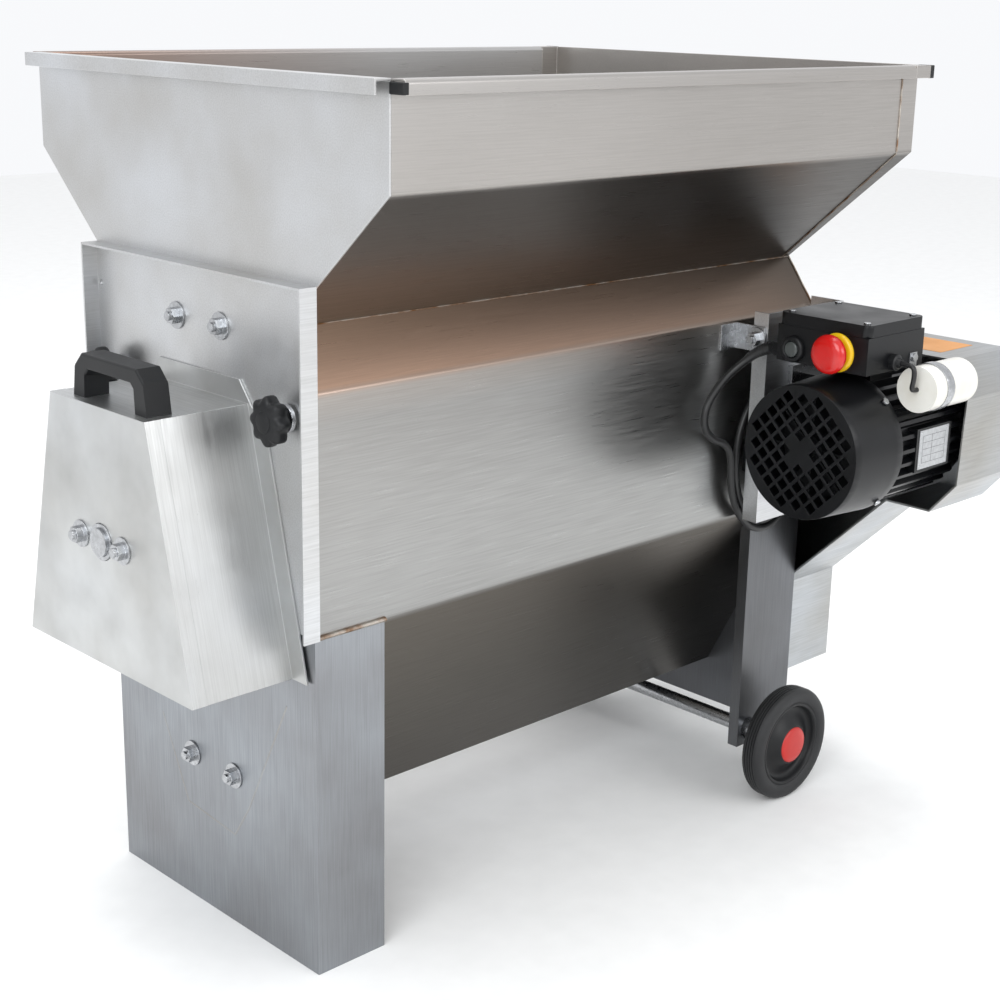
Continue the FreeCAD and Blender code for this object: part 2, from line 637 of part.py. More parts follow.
def sprocket(x, y, z, radius, shaft):
    teeth = int(2 * math.pi * radius / 9.5)
    tip = radius - CLEARANCE
    disc = prism("x", x + 1, x + CHAIN_WIDTH - 1, toothed_outline(y, z, tip - 4, tip, teeth))
    hub = rod("x", x + 1, x + CHAIN_WIDTH + 3, y, z, shaft + 4)
    return fuse(disc, hub).cut(rod("x", x - 1, x + CHAIN_WIDTH + 5, y, z, shaft))


def loop(x, width, first, second, height):
    """A chain or belt round two wheels (y, z, radius), as one closed band."""
    def hull(extra):
        (y0, z0, r0), (y1, z1, r1) = first, second
        reach = math.hypot(y1 - y0, z1 - z0)
        heading = math.atan2(z1 - z0, y1 - y0)
        lean = math.acos((r0 - r1) / reach)
        corners = []
        for turn in (lean, -lean):
            for y, z, r in ((y0, z0, r0 + extra), (y1, z1, r1 + extra)):
                corners.append((y + r * math.cos(heading + turn), z + r * math.sin(heading + turn)))
        middle = prism("x", x, x + width, [corners[0], corners[1], corners[3], corners[2]])
        ends = [rod("x", x, x + width, y, z, r + extra) for y, z, r in (first, second)]
        return middle.multiFuse(ends)
    return hull(height).cut(hull(0)).removeSplitter()


def feed_chain():
    return loop(FEED_CHAIN_X, CHAIN_WIDTH, (0, BEATER_Z, DRIVE_SPROCKET), (0, FEED_Z, FEED_SPROCKET), CHAIN_HEIGHT)


def roller_chain():
    return loop(ROLLER_CHAIN_X, CHAIN_WIDTH, (0, BEATER_Z, DRIVE_SPROCKET),
                (-ROLLER_PITCH / 2, ROLLER_Z, ROLLER_SPROCKET), CHAIN_HEIGHT)


def belt():
    return loop(BELT_X, BELT_WIDTH, (0, BEATER_Z, BEATER_PULLEY), (MOTOR_Y, MOTOR_Z, MOTOR_PULLEY), BELT_HEIGHT)


def pulley(y, z, radius, shaft):
    """A grooved pulley; the belt sits in the groove with a running clearance."""
    x0 = BELT_X - CLEARANCE
    x1 = BELT_X + BELT_WIDTH + CLEARANCE
    core = rod("x", x0, x1, y, z, radius - CLEARANCE)
    rims = [rod("x", a, b, y, z, radius + PULLEY_RIM) for a, b in ((x0 - 3, x0), (x1, x1 + 3))]
    hub = rod("x", x0 - 5, x1 + 5, y, z, shaft + 8)
    wheel = fuse(core, hub, *rims)
    return wheel.cut(rod("x", x0 - 9, x1 + 9, y, z, shaft))


GUARD_TOP_Z = MOTOR_Z + 78.9
GUARD_BELLY_Z = MOTOR_Z - 82.6
GUARD_SIDE = BODY_HALF_WIDTH - 20
GUARD_LOW_Z = OUTLET_Z + 7
GUARD_PATH = [(GUARD_SIDE, GUARD_LOW_Z), (-GUARD_SIDE, GUARD_LOW_Z), (-GUARD_SIDE, GUARD_BELLY_Z - 128),
              (MOTOR_Y + 7, GUARD_BELLY_Z), (MOTOR_Y - 45, GUARD_BELLY_Z), (MOTOR_Y - 74, GUARD_BELLY_Z + 34),
              (MOTOR_Y - 77, GUARD_TOP_Z - 37.5), (MOTOR_Y - 59, GUARD_TOP_Z), (GUARD_SIDE, GUARD_TOP_Z)]


def guard_screw_holes():
    top = GUARD_TOP_Z
    low = GUARD_LOW_Z
    return both_sides(rod("z", top - 6, top + 1, BODY_LENGTH + 14, -110, 2.5 + CLEARANCE),
                      rod("z", low - 1, low + 6, BODY_LENGTH + 14, -100, 2.5 + CLEARANCE))


def guard():
    """A deep tray over the belt and chains, open towards the body, with a door for the feed chain."""
    outer = prism("x", BODY_LENGTH, BODY_LENGTH + GUARD_DEPTH, GUARD_PATH)
    closed = GUARD_PATH[-1:] + GUARD_PATH + GUARD_PATH[:1]
    inner_path = offset(closed, SHEET)[1:-1]
    inner = prism("x", BODY_LENGTH - 1, BODY_LENGTH + GUARD_DEPTH - SHEET, inner_path)
    top = GUARD_TOP_Z
    half = FEED_SPROCKET + CHAIN_HEIGHT + 2
    slot = box(BODY_LENGTH - 1, FEED_CHAIN_X + 15, -half, half, top - SHEET - 1, top + 1)
    return outer.cut(inner).cut(slot).cut(guard_screw_holes())


def feed_drive_cover():
    """The narrow case over the feed auger's chain, standing on the guard."""
    top = GUARD_TOP_Z
    half = FEED_SPROCKET + CHAIN_HEIGHT + 2
    x1 = FEED_CHAIN_X + 15
    rise = FEED_Z + FEED_SPROCKET + CHAIN_HEIGHT + 4
    outline = [(-half - SHEET, top), (-half - SHEET, rise - 25), (-half + 25, rise + SHEET)]
    outer = prism("x", BODY_LENGTH, x1 + SHEET, across(outline))
    inner_path = offset(lengthened(outline, 10, first=True), SHEET)
    inner_path[-1] = (inner_path[-1][0], rise)
    inner = prism("x", BODY_LENGTH - 1, x1, across(inner_path))
    return outer.cut(inner).cut(overhang_block())


def guard_brackets():
    """Angle tabs on the end wall that the guard's top sheet is screwed to."""
    top = GUARD_TOP_Z - SHEET
    tab = fuse(box(BODY_LENGTH, BODY_LENGTH + 25, -122, -98, top - SHEET, top),
               box(BODY_LENGTH, BODY_LENGTH + SHEET, -122, -98, top - 22, top))
    foot = fuse(box(BODY_LENGTH, BODY_LENGTH + 25, -112, -88, GUARD_LOW_Z + SHEET, GUARD_LOW_Z + 2 * SHEET),
                box(BODY_LENGTH, BODY_LENGTH + SHEET, -112, -88, GUARD_LOW_Z + SHEET, GUARD_LOW_Z + 23))
    return both_sides(tab, foot).cut(guard_screw_holes())


def guard_screws():
    top = GUARD_TOP_Z
    low = GUARD_LOW_Z
    over = fuse(rod("z", top, top + 3, BODY_LENGTH + 14, -110, 5), rod("z", top - 4, top, BODY_LENGTH + 14, -110, 2.5))
    under = fuse(rod("z", low - 3, low, BODY_LENGTH + 14, -100, 5), rod("z", low, low + 4, BODY_LENGTH + 14, -100, 2.5))
    return both_sides(over, under)


# ---- Motor ----
MOTOR_BOLTS = [(x, MOTOR_Z + z) for x in (STATOR_X + 32, SHIELD_X - 37) for z in (-49, 49)]


def motor_bolt_holes():
    return Part.makeCompound([rod("y", PLATE_Y - BASE_PLATE - 30, PLATE_Y + SHEET + 1, x, z, 3 + CLEARANCE)
                              for x, z in MOTOR_BOLTS])


def motor_stator():
    outline = toothed_outline(MOTOR_Y, MOTOR_Z, STATOR_RADIUS, FIN_RADIUS, FIN_COUNT)
    core = prism("x", STATOR_X, SHIELD_X, outline)
    feet = []
    for z in (-42, 42):
        feet.append(box(STATOR_X + 20, SHIELD_X - 15, MOTOR_Y + 38, MOTOR_Y + SHAFT_HEIGHT,
                        MOTOR_Z + z - 13, MOTOR_Z + z + 13))
    neck = box(STATOR_X + 6, STATOR_X + 44, MOTOR_Y - 22, MOTOR_Y + 22, MOTOR_Z + STATOR_RADIUS - 8, BOX_Z0)
    flat = box(STATOR_X + 28, STATOR_X + 88, MOTOR_Y - FIN_RADIUS - 0.6, MOTOR_Y - 40, MOTOR_Z - 24, MOTOR_Z + 20)
    body = fuse(core, neck, flat, *feet).cut(rod("x", STATOR_X - 1, SHIELD_X + 1, MOTOR_Y, MOTOR_Z, 38))
    return body.cut(motor_bolt_holes())


def motor_rotor():
    shaft = rod("x", COWL_X + 14, BELT_X + 17, MOTOR_Y, MOTOR_Z, MOTOR_SHAFT)
    core = rod("x", STATOR_X + 20, SHIELD_X - 20, MOTOR_Y, MOTOR_Z, 38 - CLEARANCE)
    return fuse(shaft, core)


def motor_shield(x0, x1, nose0, nose1, radius):
    disc = rod("x", x0, x1, MOTOR_Y, MOTOR_Z, radius)
    hub = rod("x", nose0, nose1, MOTOR_Y, MOTOR_Z, 24)
    return fuse(disc, hub).cut(rod("x", nose0 - 1, nose1 + 1, MOTOR_Y, MOTOR_Z, MOTOR_SHAFT + RUNNING_FIT))


def fan_cowl():
    """A tapered drum with a grille of diamond holes round a solid middle."""
    wall = 2.0
    x1 = COWL_X + COWL_LENGTH
    outer = cone("x", COWL_X, x1, MOTOR_Y, MOTOR_Z, COWL_FRONT_RADIUS, COWL_REAR_RADIUS)
    inner = cone("x", COWL_X + 3, x1 + 1, MOTOR_Y, MOTOR_Z, COWL_FRONT_RADIUS - wall, COWL_REAR_RADIUS - wall)
    cell = 9.2
    pitch = 12.4
    holes = []
    for i in range(-5, 6):
        for j in range(-5, 6):
            if abs(i) + abs(j) < 2 or math.hypot(i, j) * pitch + cell * 0.5 > COWL_FRONT_RADIUS - 5:
                continue
            y = MOTOR_Y + pitch * i
            z = MOTOR_Z + pitch * j
            holes.append(box(COWL_X - 1, COWL_X + 4, y - cell / 2, y + cell / 2, z - cell / 2, z + cell / 2))
    grid = Part.makeCompound(holes)
    grid.rotate(V(COWL_X, MOTOR_Y, MOTOR_Z), V(1, 0, 0), 45)
    return outer.cut(inner).cut(grid)


def cooling_fan():
    hub = rod("x", COWL_X + 18, COWL_X + 44, MOTOR_Y, MOTOR_Z, 14)
    disc = rod("x", COWL_X + 42, COWL_X + 44, MOTOR_Y, MOTOR_Z, 50)
    blades = []
    for i in range(8):
        blade = box(COWL_X + 20, COWL_X + 43, MOTOR_Y - 1, MOTOR_Y + 1, MOTOR_Z + 10, MOTOR_Z + 56)
        blade.rotate(V(COWL_X, MOTOR_Y, MOTOR_Z), V(1, 0, 0), 45 * i)
        blades.append(blade)
    return fuse(hub, disc, *blades).cut(rod("x", COWL_X, COWL_X + 60, MOTOR_Y, MOTOR_Z, MOTOR_SHAFT))


def cowl_screws():
    solids = []
    for i in range(4):
        screw = Part.makeCylinder(3.5, 3, V(COWL_X + COWL_LENGTH - 8, MOTOR_Y, MOTOR_Z + COWL_REAR_RADIUS))
        screw.rotate(V(COWL_X, MOTOR_Y, MOTOR_Z), V(1, 0, 0), 45 + 90 * i)
        solids.append(screw)
    return Part.makeCompound(solids)


def motor_base_plate():
    z_half = 64.0
    plate = box(STATOR_X + 6, SHIELD_X + 4, PLATE_Y - BASE_PLATE, PLATE_Y, MOTOR_Z - z_half, MOTOR_Z + z_half)
    return plate.cut(motor_bolt_holes())


def motor_bolts():
    """Four bolts along Y hold the motor's feet and base plate to the motor plate."""
    solids = []
    for x, z in MOTOR_BOLTS:
        head = rod("y", PLATE_Y + SHEET, PLATE_Y + SHEET + 5.5, x, z, NUT_RADIUS)
        shank = rod("y", PLATE_Y - BASE_PLATE - 12, PLATE_Y + SHEET + 1, x, z, 3)
        solids.append(fuse(head, shank))
    return Part.makeCompound(solids)


BRACKET_Z0 = 500.0
BRACKET_Z1 = 526.0
BOLT_Y = PLATE_Y + 13


def motor_plate():
    """A channel that stands off the body: front sheet, left flange and a welded right flange."""
    back = -BODY_HALF_WIDTH
    path = [(PLATE_X, PLATE_Y + 18), (PLATE_X, PLATE_Y), (RIGHT_X - 1, PLATE_Y), (RIGHT_X - 1, back)]
    channel = folded("z", PLATE_Z0, PLATE_Z1, path[::-1])
    middle = (BRACKET_Z0 + BRACKET_Z1) / 2
    slide_hole = rod("x", PLATE_X - 1, PLATE_X + SHEET + 1, BOLT_Y, middle, M8 + CLEARANCE)
    return channel.cut(motor_bolt_holes()).cut(slide_hole)


def tension_bracket():
    back = -BODY_HALF_WIDTH
    leg = box(PLATE_X - SHEET, PLATE_X, PLATE_Y + 3, back, BRACKET_Z0, BRACKET_Z1)
    foot = box(PLATE_X - 26, PLATE_X - SHEET, back - SHEET, back, BRACKET_Z0, BRACKET_Z1)
    middle = (BRACKET_Z0 + BRACKET_Z1) / 2
    slot = box(PLATE_X - SHEET - 1, PLATE_X + 1, PLATE_Y + 8, PLATE_Y + 24, middle - 4.3, middle + 4.3)
    return fuse(leg, foot).cut(slot)


def tension_bolt():
    middle = (BRACKET_Z0 + BRACKET_Z1) / 2
    return bolt(PLATE_X - SHEET, PLATE_X + SHEET, BOLT_Y, middle)


# ---- Control box ----
def control_box():
    z1 = BOX_Z1 - BOX_LID
    outer = box(BOX_X0, BOX_X1, BOX_Y0, BOX_Y1, BOX_Z0, z1)
    inner = box(BOX_X0 + BOX_WALL, BOX_X1 - BOX_WALL, BOX_Y0 + BOX_WALL, BOX_Y1 - BOX_WALL, BOX_Z0 + BOX_WALL, z1 + 1)
    shell = outer.cut(inner)
    shell = shell.cut(rod("x", BOX_X0 - 1, BOX_X0 + BOX_WALL + 1, START_Y, START_Z, 8))
    return shell.cut(rod("x", BOX_X0 - 1, BOX_X0 + BOX_WALL + 1, STOP_Y, STOP_Z, 8))


def control_box_lid():
    lid = box(BOX_X0, BOX_X1, BOX_Y0, BOX_Y1, BOX_Z1 - BOX_LID, BOX_Z1)
    upright = [edge for edge in lid.Edges if abs(edge.tangentAt(edge.FirstParameter).z) > 0.9]
    return lid.makeFillet(8.0, upright)


def lid_screws():
    inset = 9.0
    solids = []
    for x in (BOX_X0 + inset, BOX_X1 - inset):
        for y in (BOX_Y0 + inset, BOX_Y1 - inset):
            solids.append(rod("z", BOX_Z1, BOX_Z1 + 1.5, x, y, 3.5))
    return Part.makeCompound(solids)


def start_bezel():
    return ring("x", BOX_X0 - 5, BOX_X0, START_Y, START_Z, 13, 8 + CLEARANCE)


def start_button():
    return rod("x", BOX_X0 - 6, BOX_X0 + 6, START_Y, START_Z, 8 - CLEARANCE)


def stop_ring():
    return ring("x", BOX_X0 - 4, BOX_X0, STOP_Y, STOP_Z, 19, 8)


def stop_button():
    z = STOP_Z
    stem = rod("x", BOX_X0 - 14, BOX_X0 + 10, STOP_Y, z, 8 - CLEARANCE)
    cap = cone("x", BOX_X0 - 22, BOX_X0 - 14, STOP_Y, z, 14, 19)
    skirt = rod("x", BOX_X0 - 14, BOX_X0 - 11, STOP_Y, z, 19)
    return fuse(stem, cap, skirt)


# ---- Capacitor ----
def capacitor():
    can = rod("x", CAP_X + 10, CAP_X + CAP_LENGTH, CAP_Y, CAP_Z, CAP_RADIUS)
    return can.makeFillet(3.0, can.Edges[:1])


def capacitor_gland():
    return fuse(rod("x", CAP_X, CAP_X + 10, CAP_Y, CAP_Z, 12), rod("x", CAP_X - 9, CAP_X, CAP_Y, CAP_Z, 6))


def capacitor_clamp():
    """A band round the can, with an ear screwed to the side of the control box."""
    x0 = CAP_X + 28
    inner = CAP_RADIUS + RUNNING_FIT
    band = ring("x", x0, x0 + 12, CAP_Y, CAP_Z, CAP_RADIUS + 1, inner)
    ear = box(x0, x0 + 12, BOX_Y0 - 1, BOX_Y0, CAP_Z + 4, BOX_Z0 + 14)
    lug = box(x0, x0 + 12, BOX_Y0 - 4, BOX_Y0 - 1, CAP_Z + 4, CAP_Z + 12).cut(
        rod("x", x0 - 1, x0 + 13, CAP_Y, CAP_Z, inner))
    screw = rod("y", BOX_Y0 - 3.5, BOX_Y0 - 1, x0 + 6, BOX_Z0 + 9, 4)
    return fuse(band, ear, lug, screw)


# ---- Wheels ----
def axle():
    return rod("y", -WHEEL_OUT_Y + 6, WHEEL_OUT_Y - 6, WHEEL_X, WHEEL_RADIUS, AXLE_RADIUS)


def axle_spacers():
    y0 = -WHEEL_OUT_Y + WHEEL_WIDTH + CLEARANCE
    return both_sides(ring("y", y0, -BODY_HALF_WIDTH - 0.1, WHEEL_X, WHEEL_RADIUS, 12, AXLE_RADIUS))


def wheel_tyre():
    y0 = -WHEEL_OUT_Y
    profile = [(WHEEL_RADIUS - TYRE_DEPTH, y0 + 3), (WHEEL_RADIUS - 5, y0), (WHEEL_RADIUS - 1, y0 + 4),
               (WHEEL_RADIUS, y0 + 8), (WHEEL_RADIUS, y0 + WHEEL_WIDTH - 8),
               (WHEEL_RADIUS - 1, y0 + WHEEL_WIDTH - 4), (WHEEL_RADIUS - 5, y0 + WHEEL_WIDTH),
               (WHEEL_RADIUS - TYRE_DEPTH, y0 + WHEEL_WIDTH - 3)]
    points = [V(WHEEL_X + r, y, WHEEL_RADIUS) for r, y in profile]
    face = Part.Face(Part.makePolygon(points + points[:1]))
    return face.revolve(V(WHEEL_X, 0, WHEEL_RADIUS), V(0, 1, 0), 360)


def wheel_hub():
    y0 = -WHEEL_OUT_Y
    rim = ring("y", y0 + 3, y0 + WHEEL_WIDTH - 3, WHEEL_X, WHEEL_RADIUS, WHEEL_RADIUS - TYRE_DEPTH,
               WHEEL_RADIUS - TYRE_DEPTH - 5)
    web = rod("y", y0 + 9, y0 + 13, WHEEL_X, WHEEL_RADIUS, WHEEL_RADIUS - TYRE_DEPTH - 4)
    nave = rod("y", y0 + 2, y0 + WHEEL_WIDTH, WHEEL_X, WHEEL_RADIUS, 16)
    return fuse(rim, web, nave).cut(rod("y", y0 - 1, y0 + WHEEL_WIDTH + 1, WHEEL_X, WHEEL_RADIUS,
                                        AXLE_RADIUS + RUNNING_FIT))


def wheel_cap():
    y0 = -WHEEL_OUT_Y
    return cone("y", y0 - 3, y0 + 2, WHEEL_X, WHEEL_RADIUS, 13, 15.5)


# ---- Power cord ----
COIL_X = PLATE_X + 51.0
COIL_Y = -BODY_HALF_WIDTH - 12.0
COIL_Z = 382.0
COIL_HALF_X = 68.0
COIL_HALF_Z = 88.0
COIL_BAND = 24.0
COIL_DEPTH = 10.0
GLAND_X = BOX_X0 + 7.7
GLAND_Z = BOX_Z0 + 9.0
CORD_ROUTE = [(533.5, -206, 509), (531, -193, 504), (524, -181, 492), (512, -171, 478), (496, -167, 462),
              (484, -166, 445), (484, -166, 426), (497, -167, 413), (512, -168, 408), (524, -168, 398),
              (530, -167, 384)]
TAIL_ROUTE = [(602, -167, 452), (586, -168, 451), (571, -170, 443.5), (564, -172, 429.5), (565, -174, 414)]


def cord_tube(route):
    """Straight runs joined by tangent arcs, each as large as its two runs allow."""
    points = [V(*point) for point in route]
    edges = []
    start = points[0]
    for before, corner, after in zip(points, points[1:], points[2:]):
        first = before - corner
        second = after - corner
        run = min(first.Length, second.Length)
        turn = math.pi - first.getAngle(second)
        radius = 0.45 * run / math.tan(turn / 2)
        enter = corner + V(first).normalize() * (0.45 * run)
        leave = corner + V(second).normalize() * (0.45 * run)
        inward = (V(first).normalize() + V(second).normalize()).normalize()
        middle = corner + inward * (radius / math.cos(turn / 2) - radius)
        edges += [Part.LineSegment(start, enter).toShape(), Part.Arc(enter, middle, leave).toShape()]
        start = leave
        print("cord radius", round(radius, 1), "turn", round(math.degrees(turn), 1))
    edges.append(Part.LineSegment(start, points[-1]).toShape())
    path = Part.Wire(edges)
    circle = Part.Wire(Part.Circle(points[0], points[1] - points[0], CORD_RADIUS).toShape())
    tube = path.makePipeShell([circle], True, True)
    print("cord volume ratio", round(tube.Volume / (math.pi * CORD_RADIUS ** 2 * path.Length), 4))
    return tube


def cord_coil():
    """The spare cord wound flat behind the motor plate, as one oval ring."""
    def oval(half_x, half_z, y0, y1):
        disc = Part.makeCylinder(half_x, y1 - y0, V(0, 0, 0), V(0, 1, 0))
        stretch = FreeCAD.Matrix()
        stretch.A33 = half_z / half_x
        stretched = disc.transformGeometry(stretch)
        stretched.translate(V(COIL_X, y0, COIL_Z))
        return stretched
    y0 = COIL_Y - COIL_DEPTH / 2
    y1 = COIL_Y + COIL_DEPTH / 2
    return oval(COIL_HALF_X, COIL_HALF_Z, y0, y1).cut(
        oval(COIL_HALF_X - COIL_BAND, COIL_HALF_Z - COIL_BAND, y0 - 1, y1 + 1))


def cable_gland():
    nut = hexagon("y", BOX_Y1, BOX_Y1 + 7, GLAND_X, GLAND_Z, 7.4)
    sleeve = ring("y", BOX_Y1 + 7, BOX_Y1 + 12.5, GLAND_X, GLAND_Z, 6.5, CORD_RADIUS - 0.5)
    return fuse(nut, sleeve)


def mains_plug():
    x, y, z = TAIL_ROUTE[-1]
    top = cone("z", z - 16, z, x, y, 14, 7)
    body = rod("z", z - 44, z - 16, x, y, 15.5)
    pins = [rod("z", z - 63, z - 44, x + side * 9.5, y, 2.4) for side in (-1, 1)]
    return fuse(top, body, *pins)


def group(*shapes):
    """Separate solids that share one node."""
    return Part.makeCompound([solid for shape in shapes for solid in shape.Solids])


NODES = {
    "hopper_front_wall": hopper_front_wall(),
    "hopper_back_wall": mirror(hopper_front_wall()),
    "hopper_left_end": hopper_left_end(),
    "hopper_right_end": hopper_right_end(),
    "body_front_wall": body_front_wall(),
    "body_back_wall": mirror(body_front_wall()),
    "body_left_end_wall": body_left_end_wall(),
    "body_right_end_wall": body_right_end_wall(),
    "left_leg_panel": left_leg_panel(),
    "right_leg_panel": right_leg_panel(),
    "feed_trough": feed_trough(),
    "end_plate": end_plate(),
    "stem_cover": stem_cover(),
    "cover_handle": cover_handle(),
    "cover_bearing": group(cover_bearing(), cover_bearing_bolts()),
    "front_star_knob": group(star_knob(-1), knob_stud(-1)),
    "back_star_knob": group(star_knob(1), knob_stud(1)),
    "drum": drum(),
    "drum_rings": group(drum_ring(LEFT_X, LEFT_X + 15), drum_ring(RIGHT_X - 15, RIGHT_X)),
    "beater": beater(),
    "feed_auger": feed_auger(),
    "front_roller": roller(-1),
    "back_roller": roller(1),
    "flange_bearings": group(feed_left_bearing(), right_bearing(BEATER_Z, BEATER_SHAFT),
                             right_bearing(FEED_Z, FEED_SHAFT), roller_bearing()),
    "flange_bolts": group(feed_bearing_bolts(), right_bearing_bolts(), motor_bolts(), tension_bolt(),
                          knob_nuts(), roller_spigots()),
    "front_roller_gear": group(roller_gear(-1), sprocket(ROLLER_CHAIN_X, -ROLLER_PITCH / 2, ROLLER_Z,
                                                         ROLLER_SPROCKET, ROLLER_SHAFT)),
    "back_roller_gear": roller_gear(1),
    "feed_sprocket": sprocket(FEED_CHAIN_X, 0, FEED_Z, FEED_SPROCKET, FEED_SHAFT),
    "beater_pulley": group(pulley(0, BEATER_Z, BEATER_PULLEY, BEATER_SHAFT),
                           sprocket(FEED_CHAIN_X, 0, BEATER_Z, DRIVE_SPROCKET, BEATER_SHAFT),
                           sprocket(ROLLER_CHAIN_X, 0, BEATER_Z, DRIVE_SPROCKET, BEATER_SHAFT)),
    "motor_pulley": pulley(MOTOR_Y, MOTOR_Z, MOTOR_PULLEY, MOTOR_SHAFT),
    "drive_chains": group(feed_chain(), roller_chain()),
    "drive_belt": belt(),
    "transmission_guard": guard(),
    "feed_drive_cover": feed_drive_cover(),
    "small_fixings": group(guard_brackets(), guard_screws(), lid_screws(), cowl_screws()),
    "motor_stator": motor_stator(),
    "motor_rotor": motor_rotor(),
    "motor_end_shields": group(motor_shield(STATOR_X - 8, STATOR_X, STATOR_X - 14, STATOR_X, COWL_REAR_RADIUS - 3),
                               motor_shield(SHIELD_X, SHIELD_X + 12, SHIELD_X, SHIELD_X + 20, STATOR_RADIUS + 3)),
    "fan_cowl": fan_cowl(),
    "cooling_fan": cooling_fan(),
    "motor_plate": motor_plate(),
    "motor_mounting": group(motor_base_plate(), tension_bracket()),
    "control_box": control_box(),
    "control_box_lid": control_box_lid(),
    "button_bezels": group(start_bezel(), stop_ring()),
    "start_button": start_button(),
    "stop_button": stop_button(),
    "capacitor": capacitor(),
    "capacitor_clamp": capacitor_clamp(),
    "cable_glands": group(cable_gland(), capacitor_gland()),
    "axle": group(axle(), axle_spacers()),
    "front_wheel_tyre": wheel_tyre(),
    "front_wheel_hub": wheel_hub(),
    "front_wheel_cap": wheel_cap(),
    "back_wheel_tyre": mirror(wheel_tyre()),
    "back_wheel_hub": mirror(wheel_hub()),
    "back_wheel_cap": mirror(wheel_cap()),
    "power_cord": group(cord_tube(CORD_ROUTE), cord_tube(TAIL_ROUTE)),
    "cord_coil": cord_coil(),
    "mains_plug": mains_plug(),
}


def main():
    os.makedirs("parts", exist_ok=True)
    for name, shape in NODES.items():
        shape.exportStep("parts/" + name + ".step")
        print(name, len(shape.Solids), shape.isValid(), round(shape.Volume))


main()
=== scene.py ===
# %% [markdown]
# A grape crusher and destemmer is mostly folded and welded stainless sheet. The CAD frame
# holds every part at its real size. Here each part gets the finish it has on the real
# machine, with painted shade and painted reflection added to the legs and to the body and
# hopper walls, and the parts whose shape is soft or rounded are built again as finer surfaces.

# %% Load the frame
import math

import bpy
import numpy as np
from mathutils import Matrix, Vector


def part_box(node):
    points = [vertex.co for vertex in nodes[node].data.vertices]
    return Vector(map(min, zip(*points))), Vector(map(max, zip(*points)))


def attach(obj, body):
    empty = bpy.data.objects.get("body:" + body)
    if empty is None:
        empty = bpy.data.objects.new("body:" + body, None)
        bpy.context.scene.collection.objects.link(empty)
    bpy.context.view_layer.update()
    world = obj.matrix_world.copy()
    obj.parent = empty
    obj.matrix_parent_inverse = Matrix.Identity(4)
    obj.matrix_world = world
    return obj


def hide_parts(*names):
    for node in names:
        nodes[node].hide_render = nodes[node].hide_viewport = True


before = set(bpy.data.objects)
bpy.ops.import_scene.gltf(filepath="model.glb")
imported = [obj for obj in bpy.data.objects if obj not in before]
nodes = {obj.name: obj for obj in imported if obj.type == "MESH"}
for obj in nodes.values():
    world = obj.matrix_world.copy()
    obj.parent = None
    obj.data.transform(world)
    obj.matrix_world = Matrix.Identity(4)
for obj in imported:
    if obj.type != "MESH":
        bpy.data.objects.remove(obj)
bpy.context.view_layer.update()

MM = 0.001

# %% [markdown]
# Positions come from the boxes of the CAD nodes. A few widths and fold heights that no box
# shows are written out in capitals. Lengths are in millimetres, as on a drawing, and are
# turned to metres by MM.


# %% Measures taken from the frame
def low(node):
    return np.array(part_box(node)[0]) / MM


def high(node):
    return np.array(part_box(node)[1]) / MM


body_half = high("body_back_wall")[1]
neck_z = high("body_front_wall")[2]
rim_z = high("hopper_front_wall")[2]
right_x = high("body_right_end_wall")[0]
seam_x = high("hopper_front_wall")[0]
knee_z = high("left_leg_panel")[2]
outlet_z = low("body_front_wall")[2]
SHEET = 2.0
NECK_HALF = 118.0
SHOULDER_Z = 528.0
HOPPER_KNEE_Z = 696.0
OUTLET_HALF = 41.0
hopper_half = high("hopper_left_end")[1]
print("body half width", body_half, "neck", neck_z, "rim", rim_z)

# %% [markdown]
# The camera is a plain 62 mm lens on a 36 mm sensor. It stands to the left of the stem end,
# a little above the hopper, and is turned by a yaw, a pitch and a slight roll.

# %% Camera
YAW, PITCH, ROLL = 0.77110517, 0.28585138, -0.02003738
forward = Vector((math.cos(PITCH) * math.sin(YAW), math.cos(PITCH) * math.cos(YAW), -math.sin(PITCH)))
right = Vector((math.cos(YAW), -math.sin(YAW), 0))
down = forward.cross(right)
right, down = (math.cos(ROLL) * right + math.sin(ROLL) * down,
               -math.sin(ROLL) * right + math.cos(ROLL) * down)
lens = bpy.data.cameras.new("camera")
lens.sensor_width = 36
lens.lens = 62.38
lens.clip_end = 50
camera = bpy.data.objects.new("camera", lens)
bpy.context.collection.objects.link(camera)
turn = Matrix((right, -down, -forward)).transposed().to_4x4()
camera.matrix_world = Matrix.Translation(Vector((-0.8386, -1.2356, 0.8433))) @ turn
bpy.context.scene.camera = camera
print("camera looks along", tuple(round(v, 3) for v in forward))

# %% [markdown]
# Stainless steel shows whatever surrounds it, so the light is soft: a pale world, one broad
# lamp over the stem end on the left, a long one in front, one overhead, and a pale floor.


# %% Floor and lights
def plain_mesh(name, verts, faces):
    mesh = bpy.data.meshes.new(name)
    mesh.from_pydata([tuple(v) for v in verts], [], faces)
    thing = bpy.data.objects.new(name, mesh)
    bpy.context.collection.objects.link(thing)
    return thing


floor = plain_mesh("floor", [(-6, -6, 0), (7, -6, 0), (7, 6, 0), (-6, 6, 0)], [(0, 1, 2, 3)])


def lamp(name, place, target, size, power, colour=(1, 1, 1)):
    light = bpy.data.lights.new(name, "AREA")
    light.shape = "RECTANGLE"
    light.size, light.size_y = size
    light.energy = power
    light.color = colour
    thing = bpy.data.objects.new(name, light)
    thing.location = place
    thing.rotation_euler = (Vector(target) - Vector(place)).to_track_quat("-Z", "Y").to_euler()
    bpy.context.collection.objects.link(thing)


